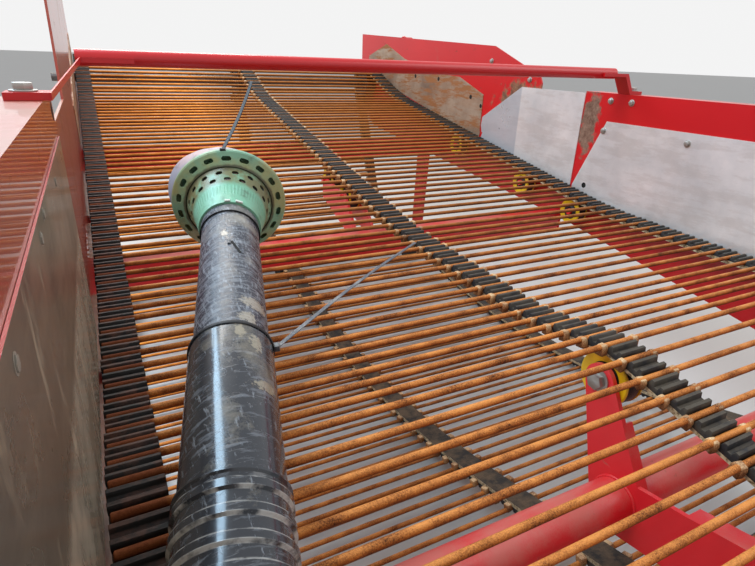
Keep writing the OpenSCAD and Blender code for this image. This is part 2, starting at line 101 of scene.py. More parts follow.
def facing(spot, normal, turn=0.0):  # a place whose z axis looks along the normal
    lean = Vector(normal).normalized().to_track_quat("Z", "Y").to_matrix().to_4x4()
    return Matrix.Translation(spot) @ lean @ Matrix.Rotation(turn, 4, "Z")


onShaft = Matrix.Translation(shaftLine["start"]) @ Matrix(
    (shaftLine["along"], shaftLine["left"], shaftLine["up"])).transposed().to_4x4()
shaftTurn = onShaft.to_3x3().to_4x4()


def shaftSpot(at, radius, turn):  # turn from the top, positive to the left
    return onShaft @ Vector((at, radius * math.sin(turn), radius * math.cos(turn)))


def shaftPlace(at, radius, turn):  # the same spot with z looking out from the shaft
    return Matrix.Translation(shaftSpot(at, radius, turn)) @ shaftTurn @ Matrix.Rotation(-turn, 4, "X")


# Mesh helpers

def deselect():
    bpy.ops.object.select_all(action="DESELECT")


def takeOnly(obj):
    deselect()
    obj.select_set(True)
    bpy.context.view_layer.objects.active = obj


def applyPlace(obj):
    takeOnly(obj)
    bpy.ops.object.transform_apply(location=True, rotation=True, scale=True)


def applyModifiers(obj):
    takeOnly(obj)
    for modifier in list(obj.modifiers):
        bpy.ops.object.modifier_apply(modifier=modifier.name)


def bevelled(obj, width, segments=2):
    modifier = obj.modifiers.new("edges", "BEVEL")
    modifier.width = width
    modifier.segments = segments
    modifier.limit_method = "ANGLE"
    modifier.angle_limit = math.radians(32)
    applyModifiers(obj)


def smooth(obj, angle):
    takeOnly(obj)
    bpy.ops.object.shade_smooth_by_angle(angle=math.radians(angle))


def joined(parts, name):
    deselect()
    for part in parts:
        part.select_set(True)
    bpy.context.view_layer.objects.active = parts[0]
    if len(parts) > 1:
        bpy.ops.object.join()
    parts[0].name = name
    parts[0].data.name = name
    return parts[0]


def copies(pattern, places, name):
    made = []
    for place in places:
        twin = pattern.copy()
        twin.data = pattern.data.copy()
        twin.data.transform(place)
        bpy.context.scene.collection.objects.link(twin)
        made.append(twin)
    bpy.data.objects.remove(pattern)
    return joined(made, name)


def crossRod(sides, radius, length, spot=(0, 0, 0)):  # a cylinder along x
    bpy.ops.mesh.primitive_cylinder_add(vertices=sides, radius=radius, depth=length, location=spot,
                                        rotation=(0, math.pi / 2, 0))
    rod = bpy.context.object
    applyPlace(rod)
    return rod


def crossRing(major, minor, steps):  # a ring round x, steps round it and round its section
    bpy.ops.mesh.primitive_torus_add(major_segments=steps[0], minor_segments=steps[1], major_radius=major,
                                     minor_radius=minor, rotation=(0, math.pi / 2, 0))
    ring = bpy.context.object
    applyPlace(ring)
    return ring


def block(place, size, edge, name):
    bpy.ops.mesh.primitive_cube_add(size=1)
    obj = bpy.context.object
    obj.scale = size
    applyPlace(obj)
    bevelled(obj, edge)
    obj.data.transform(place)
    obj.name = name
    return obj


def finishPiece(obj, look, body, slot, *replaced, angle=None):  # edges sharper than angle stay hard
    if angle:
        smooth(obj, angle)
    obj.data.materials.clear()
    obj.data.materials.append(looks[look])
    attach(obj, body)
    if replaced:
        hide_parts(*replaced)


# Node helpers

def addNode(tree, kind, **values):
    node = tree.nodes.new(kind)
    for key, value in values.items():
        if hasattr(node, key):
            setattr(node, key, value)
        else:
            node.inputs[key.replace("_", " ")].default_value = value
    return node


def feed(tree, source, target):
    tree.links.new(source, target)


def makeGroup(name, inputs, outputs, build):
    tree = bpy.data.node_groups.new(name, "ShaderNodeTree")
    for label, kind, value in inputs:
        socket = tree.interface.new_socket(label, in_out="INPUT", socket_type=kind)
        socket.default_value = value
    for label, kind in outputs:
        tree.interface.new_socket(label, in_out="OUTPUT", socket_type=kind)
    build(tree, addNode(tree, "NodeGroupInput"), addNode(tree, "NodeGroupOutput"))
    return tree


def give(tree, value, socket):  # a constant sits on the socket, anything else is linked to it
    if isinstance(value, (int, float, tuple, Vector)):
        socket.default_value = value
    else:
        feed(tree, value, socket)


def noiseAt(tree, coords, scale, detail=4.0, rough=0.55):
    noise = addNode(tree, "ShaderNodeTexNoise", Detail=detail, Roughness=rough)
    give(tree, scale, noise.inputs["Scale"])
    feed(tree, coords, noise.inputs["Vector"])
    return noise.outputs["Fac"]


def ranged(tree, value, low, high, to=(0.0, 1.0)):
    step = addNode(tree, "ShaderNodeMapRange")
    step.clamp = True
    for label, amount in (("From Min", low), ("From Max", high), ("To Min", to[0]), ("To Max", to[1])):
        give(tree, amount, step.inputs[label])
    feed(tree, value, step.inputs["Value"])
    return step.outputs["Result"]


def combined(tree, how, *values):  # sums and products are kept between 0 and 1
    step = addNode(tree, "ShaderNodeMath", operation=how)
    step.use_clamp = how in ("ADD", "MULTIPLY")
    for index, value in enumerate(values):
        give(tree, value, step.inputs[index])
    return step.outputs["Value"]


def times(tree, a, b):
    return combined(tree, "MULTIPLY", a, b)


def plus(tree, a, b):
    return combined(tree, "ADD", a, b)


def minus(tree, a, b):
    return combined(tree, "SUBTRACT", a, b)


def vectorStep(tree, how, *values):
    step = addNode(tree, "ShaderNodeVectorMath", operation=how)
    for index, value in enumerate(values):
        give(tree, value, step.inputs[index])
    return step.outputs


def mixed(tree, mask, a, b):
    mix = addNode(tree, "ShaderNodeMix", data_type="RGBA")
    give(tree, mask, mix.inputs[0])
    for index, value in ((6, a), (7, b)):
        opaque = isinstance(value, tuple) and len(value) == 3
        give(tree, value + (1.0,) if opaque else value, mix.inputs[index])
    return mix.outputs[2]


def objectCoords(tree, scale=(1, 1, 1)):
    coords = addNode(tree, "ShaderNodeTexCoord")
    mapping = addNode(tree, "ShaderNodeMapping")
    mapping.inputs["Scale"].default_value = scale
    feed(tree, coords.outputs["Object"], mapping.inputs["Vector"])
    return mapping.outputs["Vector"]


# Shared effects

def partsOf(tree, vector):
    split = addNode(tree, "ShaderNodeSeparateXYZ")
    feed(tree, vector, split.inputs["Vector"])
    return split.outputs


def axisPlace(tree, axis):  # row coordinate in metres
    return partsOf(tree, objectCoords(tree))[axis]


def normalPart(tree, axis):
    return partsOf(tree, addNode(tree, "ShaderNodeNewGeometry").outputs["Normal"])[axis]


def sideFace(tree):  # 1 on faces that look along x, such as the flat of a wall
    return ranged(tree, combined(tree, "ABSOLUTE", normalPart(tree, "X")), 0.4, 0.6)


def buildGrime(tree, given, result):  # dust in patches, more of it on faces that look up
    coords = objectCoords(tree)
    patches = noiseAt(tree, coords, given.outputs["Scale"], 7.0, 0.62)
    fine = noiseAt(tree, coords, 420.0, 3.0, 0.6)
    upward = ranged(tree, normalPart(tree, "Z"), -0.2, 0.9)
    lifted = times(tree, upward, given.outputs["Upward"])
    mixedUp = plus(tree, patches, times(tree, lifted, 0.35))
    speckled = plus(tree, mixedUp, times(tree, fine, 0.14))
    low = minus(tree, 1.12, given.outputs["Amount"])
    high = plus(tree, low, 0.22)
    feed(tree, ranged(tree, speckled, low, high), result.inputs["Mask"])


def buildRust(tree, given, result):  # three rust tones with pits
    coords = objectCoords(tree)
    broad = noiseAt(tree, coords, given.outputs["Scale"], 6.0, 0.6)
    fine = noiseAt(tree, coords, 480.0, 6.0, 0.8)
    blend = plus(tree, times(tree, broad, 0.45), times(tree, fine, 0.55))
    lowTone = mixed(tree, ranged(tree, blend, 0.38, 0.49), given.outputs["Dark"], given.outputs["Middle"])
    tone = mixed(tree, ranged(tree, blend, 0.49, 0.6), lowTone, given.outputs["Light"])
    feed(tree, tone, result.inputs["Colour"])
    feed(tree, blend, result.inputs["Height"])


def buildScratches(tree, given, result):  # thin lines drawn out along one axis
    drawn = vectorStep(tree, "MULTIPLY", objectCoords(tree), given.outputs["Stretch"])["Vector"]
    lines = noiseAt(tree, drawn, given.outputs["Scale"], 5.0, 0.7)
    low = minus(tree, 0.78, given.outputs["Amount"])
    high = plus(tree, low, 0.1)
    feed(tree, ranged(tree, lines, low, high), result.inputs["Mask"])


def buildSpot(tree, given, result):  # a ragged patch round one place
    coords = objectCoords(tree)
    away = vectorStep(tree, "SUBTRACT", coords, given.outputs["Centre"])["Vector"]
    scaled = vectorStep(tree, "DIVIDE", away, given.outputs["Size"])["Vector"]
    far = vectorStep(tree, "LENGTH", scaled)["Value"]
    rough = minus(tree, noiseAt(tree, coords, given.outputs["Scale"], 6.0, 0.7), 0.5)
    ragged = combined(tree, "MULTIPLY_ADD", rough, given.outputs["Ragged"], far)
    feed(tree, ranged(tree, ragged, 0.75, 1.0, (1.0, 0.0)), result.inputs["Mask"])


def buildPolar(tree, given, result):  # places on the stowed shaft: along it, round it and out from it
    away = vectorStep(tree, "SUBTRACT", objectCoords(tree), shaftLine["start"])["Vector"]
    along, left, up = [vectorStep(tree, "DOT_PRODUCT", away, shaftLine[axis])["Value"]
                       for axis in ("along", "left", "up")]
    squares = [combined(tree, "POWER", value, 2.0) for value in (left, up)]
    feed(tree, combined(tree, "SQRT", plus(tree, *squares)), result.inputs["Radius"])
    feed(tree, combined(tree, "ARCTAN2", left, up), result.inputs["Around"])
    feed(tree, along, result.inputs["Along"])


number, colour, vector = "NodeSocketFloat", "NodeSocketColor", "NodeSocketVector"
grime = makeGroup("grime", [("Scale", number, 9.0), ("Amount", number, 0.5), ("Upward", number, 1.0)],
                  [("Mask", number)], buildGrime)
rust = makeGroup("rust", [
    ("Scale", number, 24.0), ("Dark", colour, (0.1, 0.035, 0.012, 1)),
    ("Middle", colour, (0.3, 0.1, 0.03, 1)), ("Light", colour, (0.5, 0.2, 0.06, 1))],
    [("Colour", colour), ("Height", number)], buildRust)
scratches = makeGroup("scratches", [
    ("Scale", number, 60.0), ("Amount", number, 0.15), ("Stretch", vector, (1, 1, 1))],
    [("Mask", number)], buildScratches)
spotGroup = makeGroup("spot", [
    ("Centre", vector, (0, 0, 0)), ("Size", vector, (0.1, 0.1, 0.1)), ("Scale", number, 20.0),
    ("Ragged", number, 0.8)], [("Mask", number)], buildSpot)
polar = makeGroup("shaftPlace", [], [("Along", number), ("Around", number), ("Radius", number)], buildPolar)


def useGroup(tree, group, **values):
    node = addNode(tree, "ShaderNodeGroup")
    node.node_tree = group
    for key, value in values.items():
        node.inputs[key].default_value = value
    return node.outputs


def grimeMask(tree, scale, amount, upward):
    return useGroup(tree, grime, Scale=scale, Amount=amount, Upward=upward)["Mask"]


def scratchMask(tree, scale, amount, stretch):
    return useGroup(tree, scratches, Scale=scale, Amount=amount, Stretch=stretch)["Mask"]


def spotMask(tree, centre, size, scale, ragged):
    return useGroup(tree, spotGroup, Centre=centre, Size=size, Scale=scale, Ragged=ragged)["Mask"]


def newMaterial(name, roughness=0.5, metallic=0.0, coat=0.0, specular=0.5):
    material = bpy.data.materials.new(name)
    material.use_nodes = True
    tree = material.node_tree
    shader = tree.nodes["Principled BSDF"]
    shader.inputs["Roughness"].default_value = roughness
    shader.inputs["Metallic"].default_value = metallic
    shader.inputs["Coat Weight"].default_value = coat
    shader.inputs["Specular IOR Level"].default_value = specular
    return material, tree, shader


def shaded(tree, shader, colours, height, depth, rough=None):  # colour, bump and roughness together
    feed(tree, colours, shader.inputs["Base Color"])
    if rough:
        feed(tree, rough, shader.inputs["Roughness"])
    bump = addNode(tree, "ShaderNodeBump", Strength=1.0, Distance=depth)
    feed(tree, height, bump.inputs["Height"])
    feed(tree, bump.outputs["Normal"], shader.inputs["Normal"])


paintLook = {"red": (0.62, 0.008, 0.012), "shade": (0.46, 0.006, 0.01), "dust": (0.33, 0.14, 0.1),
             "chip": (0.13, 0.05, 0.03)}
brownLook = {"red": (0.42, 0.045, 0.022), "shade": (0.27, 0.035, 0.016), "dust": (0.3, 0.14, 0.075),
             "chip": (0.09, 0.04, 0.025)}
# a lighter, dustier red: dust, and painted light on parts that lie in the web's shade
dustyLitLook = {"red": (0.86, 0.024, 0.032), "shade": (0.7, 0.018, 0.026), "dust": (0.6, 0.22, 0.17),
             "chip": (0.36, 0.14, 0.09)}


def paintMaterial(name, look, dustAmount, chips=0.1, patch=None, coat=0.15):
    material, tree, shader = newMaterial(name, coat=coat)
    coords = objectCoords(tree)
    tone = mixed(tree, noiseAt(tree, coords, 3.0), look["red"], look["shade"])
    dust = grimeMask(tree, 7.0, dustAmount, 0.8)
    chip = scratchMask(tree, 34.0, chips, (1.0, 0.35, 1.0))
    colourNow = mixed(tree, times(tree, dust, 0.6), tone, look["dust"])
    worn = plus(tree, times(tree, dust, 0.4), chip)
    if patch:
        bare = spotMask(tree, patch["at"], patch["size"], 24.0, 2.2)
        rusty = mixed(tree, ranged(tree, noiseAt(tree, coords, 60.0, 6.0, 0.7), 0.35, 0.65),
                      patch["dark"], patch["light"])
        colourNow = mixed(tree, bare, colourNow, rusty)
        worn = plus(tree, worn, bare)
    chipped = mixed(tree, chip, colourNow, look["chip"])
    ripple = times(tree, noiseAt(tree, coords, 11.0, 2.0), 0.5)
    height = minus(tree, plus(tree, dust, ripple), chip)
    shaded(tree, shader, chipped, height, 0.0004, ranged(tree, worn, 0.0, 1.0, (0.32, 0.75)))
    return material


# dark is also the painted shade on undersides, edge the painted shade along the left edge, far the painted
# sunlight and shadow a painted shadow
rodLook = {"dark": (0.07, 0.018, 0.004, 1), "middle": (0.38, 0.1, 0.013, 1),
           "light": (0.66, 0.2, 0.026, 1), "rubbedAndLit": (0.72, 0.31, 0.08), "soil": (0.17, 0.08, 0.03),
           "far": (1.0, 0.36, 0.035), "farAt": (-1.5, -0.5, (0.0, 0.75)),
           "shadow": (0.15, 0.055, 0.017), "shadowAt": (0.46, 0.66), "shadowFrom": (-2.0, -1.2, (0.0, 0.62)),
           "edge": (0.27, 0.052, 0.01), "edgeAt": (0.104, 0.112, (1.0, 0.0)),
           "edgeFrom": (-2.4, -1.9, (0.8, 0.94))}


def rustMaterial(name, look, topShine=0.55):  # tops lighter, partly rubbed wear and partly painted light; undersides painted dark as shade
    material, tree, shader = newMaterial(name, roughness=0.7, metallic=0.15, specular=0.3)
    tones = useGroup(tree, rust, Scale=22.0, Dark=look["dark"], Middle=look["middle"], Light=look["light"])
    up = normalPart(tree, "Z")
    # painted shade: faces that look down are darkened toward the dark rust tone
    shadedUnderside = ranged(tree, up, -0.65, 0.2, (0.9, 0.0))
    toned = mixed(tree, shadedUnderside, tones["Colour"], look["dark"])
    broken = times(tree, ranged(tree, up, 0.15, 0.9), ranged(tree, tones["Height"], 0.4, 0.56))
    # tops that face up are lighter: rubbed wear and painted light
    rubbedAndLit = times(tree, broken, topShine)
    soiled = grimeMask(tree, 4.0, 0.28, 0.3)
    shown = mixed(tree, rubbedAndLit, toned, look["rubbedAndLit"])
    shown = mixed(tree, times(tree, soiled, 0.6), shown, look["soil"])
    if "far" in look:  # painted sunlight on the far end, a painted shadow along the right and painted shade along the left edge
        across, ahead = axisPlace(tree, "X"), axisPlace(tree, "Y")
        sunny = times(tree, ranged(tree, ahead, *look["farAt"]), ranged(tree, up, -0.2, 0.6))
        shown = mixed(tree, sunny, shown, look["far"])
        dim = times(tree, ranged(tree, across, *look["shadowAt"]), ranged(tree, ahead, *look["shadowFrom"]))
        shown = mixed(tree, dim, shown, look["shadow"])
        shadedLeftEdge = times(tree, ranged(tree, across, *look["edgeAt"]), ranged(tree, ahead, *look["edgeFrom"]))
        shown = mixed(tree, shadedLeftEdge, shown, mixed(tree, tones["Height"], look["dark"], look["edge"]))
        rubbedAndLit = times(tree, rubbedAndLit, ranged(tree, shadedLeftEdge, 0.0, 1.0, (1.0, 0.2)))
    shaded(tree, shader, shown, tones["Height"], 0.0014, ranged(tree, rubbedAndLit, 0.0, 0.6, (0.8, 0.4)))
    return material


# Rubber and dull plastic; near and far are the dust's shares at the two ends of the web
def rubberMaterial(name, base, dustColour, dustAmount, roughness=0.6, near=0.75, far=0.75,
                   grain=(1, 1, 1)):
    material, tree, shader = newMaterial(name, roughness=roughness, specular=0.35)
    dust = grimeMask(tree, 30.0, dustAmount, 0.6)
    share = ranged(tree, axisPlace(tree, "Y"), -2.2, -1.2, (near, far))
    shown = mixed(tree, times(tree, dust, share), base, dustColour)
    shaded(tree, shader, shown, noiseAt(tree, objectCoords(tree, grain), 900.0, 3.0), 0.0005)
    return material


def beltMaterial(name):  # dark running faces and pale, frayed fabric on the cut edges
    material, tree, shader = newMaterial(name, roughness=0.8, specular=0.3)
    frayed = noiseAt(tree, objectCoords(tree), 160.0, 6.0, 0.7)
    edge = times(tree, sideFace(tree), ranged(tree, frayed, 0.3, 0.45))
    fabric = mixed(tree, ranged(tree, frayed, 0.4, 0.6), (0.22, 0.15, 0.075), (0.6, 0.5, 0.32))
    soiled = mixed(tree, ranged(tree, noiseAt(tree, objectCoords(tree), 22.0, 6.0, 0.7), 0.4, 0.6),
                   (0.028, 0.025, 0.022), (0.12, 0.08, 0.048))
    shaded(tree, shader, mixed(tree, edge, soiled, fabric), frayed, 0.0012)
    return material


def sheetMaterial(name, look, roughness, metallic, rustAmount, runs=(1.0, 0.25, 1.4)):
    material, tree, shader = newMaterial(name, metallic=metallic)
    coords = objectCoords(tree)
    spangle = addNode(tree, "ShaderNodeTexVoronoi", Scale=55.0)
    feed(tree, coords, spangle.inputs["Vector"])
    flakes = ranged(tree, spangle.outputs["Color"], 0.0, 1.0)
    cloudy = noiseAt(tree, coords, 5.0, 6.0, 0.6)
    streaks = scratchMask(tree, 12.0, 0.3, (1.0, 0.5, 2.2))
    shown = mixed(tree, ranged(tree, cloudy, 0.36, 0.66), look["base"], look["stain"])
    shown = mixed(tree, times(tree, flakes, 0.12), shown, look["stain"])
    shown = mixed(tree, times(tree, streaks, 0.22), shown, look["rust"])
    rubbedIn = scratchMask(tree, 26.0, rustAmount, runs)
    shown = mixed(tree, rubbedIn, shown, look["rust"])
    worn = plus(tree, cloudy, times(tree, rubbedIn, 0.4))
    if "fold" in look:  # past the fold the sheet turns away from the light
        past = ranged(tree, axisPlace(tree, "Y"), look["fold"] - 0.003, look["fold"] + 0.003, (0.0, 0.6))
        shown = mixed(tree, past, shown, look["shade"])
    if "edge" in look:  # painted cut edges, and a foot that is pale where the crop rubs along it
        flat = sideFace(tree)
        shown = mixed(tree, flat, look["edge"], shown)
        broken = ranged(tree, noiseAt(tree, coords, 18.0, 6.0), 0.3, 0.6, (0.35, 1.0))
        foot = times(tree, ranged(tree, axisPlace(tree, "Z"), *look["lowAt"]), broken)
        shown = mixed(tree, foot, shown, look["low"])
        worn = minus(tree, worn, times(tree, foot, 0.35))
        bare = ranged(tree, foot, 0.0, 0.8, (metallic, metallic * 0.3))
        feed(tree, times(tree, flat, bare), shader.inputs["Metallic"])
    shaded(tree, shader, shown, cloudy, 0.0006, ranged(tree, worn, 0.3, 1.0, roughness))
    return material


zincLook = {"base": (0.93, 0.92, 0.91), "stain": (0.66, 0.66, 0.66), "rust": (0.42, 0.35, 0.3)}
foldLook = dict(zincLook, fold=-0.943, shade=(0.42, 0.47, 0.54))
linerLook = {"base": (0.25, 0.205, 0.15), "stain": (0.13, 0.107, 0.075), "rust": (0.42, 0.35, 0.25),
             "edge": (0.6, 0.01, 0.012), "low": (0.6, 0.5, 0.37), "lowAt": (-0.335, -0.318, (0.8, 0.0))}
wearLook = {"base": (0.5, 0.39, 0.29), "stain": (0.2, 0.13, 0.09), "rust": (0.32, 0.13, 0.045)}
plainZinc = {"base": (0.5, 0.5, 0.48), "stain": (0.35, 0.34, 0.31), "rust": (0.22, 0.12, 0.06)}
darkLook = {"base": (0.12, 0.11, 0.105), "stain": (0.07, 0.06, 0.055), "rust": (0.2, 0.09, 0.04)}
driveLook = {"base": (0.17, 0.15, 0.135), "stain": (0.09, 0.08, 0.07), "rust": (0.2, 0.09, 0.04)}


def plasticMaterial(name, base, shade, dustColour, dustAmount):
    material, tree, shader = newMaterial(name)
    coords = objectCoords(tree)
    tone = mixed(tree, noiseAt(tree, coords, 14.0), base, shade)
    dust = grimeMask(tree, 16.0, dustAmount, 1.0)
    scuffs = scratchMask(tree, 90.0, 0.14, (1.0, 0.3, 1.0))
    worn = plus(tree, dust, times(tree, scuffs, 0.4))
    height = plus(tree, worn, noiseAt(tree, coords, 240.0))
    shown = mixed(tree, times(tree, worn, 0.8), tone, dustColour)
    shaded(tree, shader, shown, height, 0.0004, ranged(tree, worn, 0.0, 1.0, (0.35, 0.7)))
    return material


guardLook = {
    "base": (0.016, 0.021, 0.03), "scuff": (0.3, 0.33, 0.37), "dust": (0.36, 0.31, 0.22), "fine": 60.0,
    "coat": 0.85, "coatRough": 0.14, "patches": [
        ((0.235, -0.030, 0.041), (0.009, 0.014, 0.012)), ((0.252, -0.012, 0.048), (0.007, 0.012, 0.009)),
        ((0.17, -0.038, 0.032), (0.034, 0.008, 0.012))]}
tubeLook = {
    "base": (0.035, 0.042, 0.058), "scuff": (0.36, 0.39, 0.43), "dust": (0.44, 0.39, 0.31), "fine": 80.0,
    "coat": 0.3, "coatRough": 0.42, "patches": [
        ((0.492, 0.006, 0.046), (0.006, 0.012, 0.016)), ((0.285, -0.022, 0.041), (0.012, 0.012, 0.012)),
        ((0.32, -0.034, 0.032), (0.03, 0.012, 0.02))]}
collarLook = dict(guardLook, ribs=(-0.026, -0.002, 0.022, 0.046), ribHalf=0.005, rubbedAndLit=(0.5, 0.49, 0.46))


def guardMaterial(name, look, dustAmount, scuffAmount):  # scuffs run round and along the tube
    material, tree, shader = newMaterial(name, specular=0.25, coat=look["coat"])
    shader.inputs["Coat Roughness"].default_value = look["coatRough"]
    coords = objectCoords(tree)
    around = scratchMask(tree, look["fine"], scuffAmount, (0.5, 2.6, 0.5))
    along = scratchMask(tree, look["fine"] * 1.6, scuffAmount * 0.8, (2.2, 0.4, 2.2))
    scuffs = plus(tree, times(tree, around, 0.34), times(tree, along, 0.62))
    dust = grimeMask(tree, 11.0, dustAmount, 0.35)
    shown = mixed(tree, scuffs, look["base"], look["scuff"])
    shown = mixed(tree, times(tree, dust, 0.7), shown, look["dust"])
    worn = plus(tree, scuffs, dust)
    height = plus(tree, worn, noiseAt(tree, coords, 60.0, 3.0))
    for at, size in look["patches"]:  # caked soil
        patch = spotMask(tree, onShaft @ Vector(at), size, 210.0, 3.0)
        shown = mixed(tree, times(tree, patch, 0.7), shown, look["dust"])
        height = plus(tree, height, patch)
    if "ribs" in look:  # pale edges of the collar's ribs: partly rubbed wear, partly painted highlight
        at = useGroup(tree, polar)["Along"]
        broken = ranged(tree, noiseAt(tree, coords, 45.0, 4.0), 0.4, 0.55)
        for rib in look["ribs"]:
            beside = combined(tree, "ABSOLUTE", minus(tree, at, rib))
            off = combined(tree, "ABSOLUTE", minus(tree, beside, look["ribHalf"]))
            line = times(tree, ranged(tree, off, 0.001, 0.002, (0.9, 0.0)), broken)
            shown = mixed(tree, line, shown, look["rubbedAndLit"])
    shaded(tree, shader, shown, height, 0.0005, ranged(tree, worn, 0.0, 1.0, (0.25, 0.6)))
    return material


coneLook = {"green": (0.2, 0.46, 0.31), "ring": (0.2, 0.4, 0.27), "olive": (0.33, 0.36, 0.17),
            "cone": (0.17, 0.17, 0.078), "dirt": (0.065, 0.052, 0.03), "inside": (0.012, 0.011, 0.01)}
coneAt = {"hub": (0.612, 0.616), "hubEnd": (0.638, 0.636), "foot": (0.638, 0.648), "neck": (0.0765, 0.074),
          "rim": (0.075, 0.079), "creaseIn": (0.076, 0.0795), "creaseOut": (0.0865, 0.0835), "ragged": 0.009,
          "taper": -1 / 3, "shadedLining": (-0.1533, -0.1525, (1.0, 0.0)), "ribs": 64.0, "ribTurn": 0.5}


def coneMaterial(name, look, at):  # a green hub, a dirty yellowed cone and a pale rim
    material, tree, shader = newMaterial(name, roughness=0.45)
    coords = objectCoords(tree)
    place = useGroup(tree, polar)
    cloud = noiseAt(tree, coords, 40.0, 6.0, 0.65)
    behind = ranged(tree, place["Along"], *at["foot"])
    inside = times(tree, behind, ranged(tree, place["Radius"], *at["neck"]))
    rim = times(tree, behind, ranged(tree, place["Radius"], *at["rim"]))
    shown = mixed(tree, times(tree, inside, ranged(tree, cloud, 0.25, 0.5)), look["green"], look["cone"])
    patchy = ranged(tree, noiseAt(tree, coords, 16.0, 3.0), 0.42, 0.6)
    shown = mixed(tree, rim, shown, mixed(tree, patchy, look["ring"], look["olive"]))
    ragged = combined(tree, "MULTIPLY_ADD", cloud, at["ragged"], place["Radius"])
    # painted shade: a dark ring in the crease between rim and cone, in the dirt colour
    creaseShade = times(tree, ranged(tree, ragged, *at["creaseIn"]), ranged(tree, ragged, *at["creaseOut"]))
    shown = mixed(tree, times(tree, times(tree, creaseShade, behind), 0.85), shown, look["dirt"])
    # painted shade: the cone's inside behind the hub is near black
    shadedLining = combined(tree, "MULTIPLY_ADD", place["Along"], at["taper"], place["Radius"])
    inner = times(tree, behind, ranged(tree, shadedLining, *at["shadedLining"]))
    shown = mixed(tree, inner, shown, look["inside"])
    dust = grimeMask(tree, 34.0, 0.5, 0.1)
    soil = times(tree, dust, ranged(tree, cloud, 0.35, 0.6))
    soiled = mixed(tree, times(tree, soil, 0.75), shown, look["dirt"])
    turns = combined(tree, "MULTIPLY_ADD", place["Around"], at["ribs"], at["ribTurn"])
    onHub = times(tree, *[ranged(tree, place["Along"], *at[end]) for end in ("hub", "hubEnd")])
    height = plus(tree, times(tree, combined(tree, "SINE", turns), onHub), cloud)
    shaded(tree, shader, soiled, height, 0.0009, ranged(tree, soil, 0.0, 1.0, (0.36, 0.7)))
    return material


cupLook = {"grey": (0.26, 0.3, 0.36), "pink": (0.55, 0.36, 0.34), "dirt": (0.12, 0.11, 0.11)}


def cupMaterial(name, look):  # pink on faces that look up, bluish grey below
    material, tree, shader = newMaterial(name)
    coords = objectCoords(tree)
    cloud = noiseAt(tree, coords, 26.0, 6.0, 0.65)
    top = times(tree, ranged(tree, normalPart(tree, "Z"), 0.35, 0.85), ranged(tree, cloud, 0.3, 0.55))
    shown = mixed(tree, times(tree, top, 0.85), look["grey"], look["pink"])
    scuffs = scratchMask(tree, 60.0, 0.2, (1.0, 0.6, 1.0))
    dirty = mixed(tree, times(tree, scuffs, 0.6), shown, look["dirt"])
    shaded(tree, shader, dirty, cloud, 0.0009, ranged(tree, cloud, 0.2, 0.8, (0.35, 0.62)))
    return material


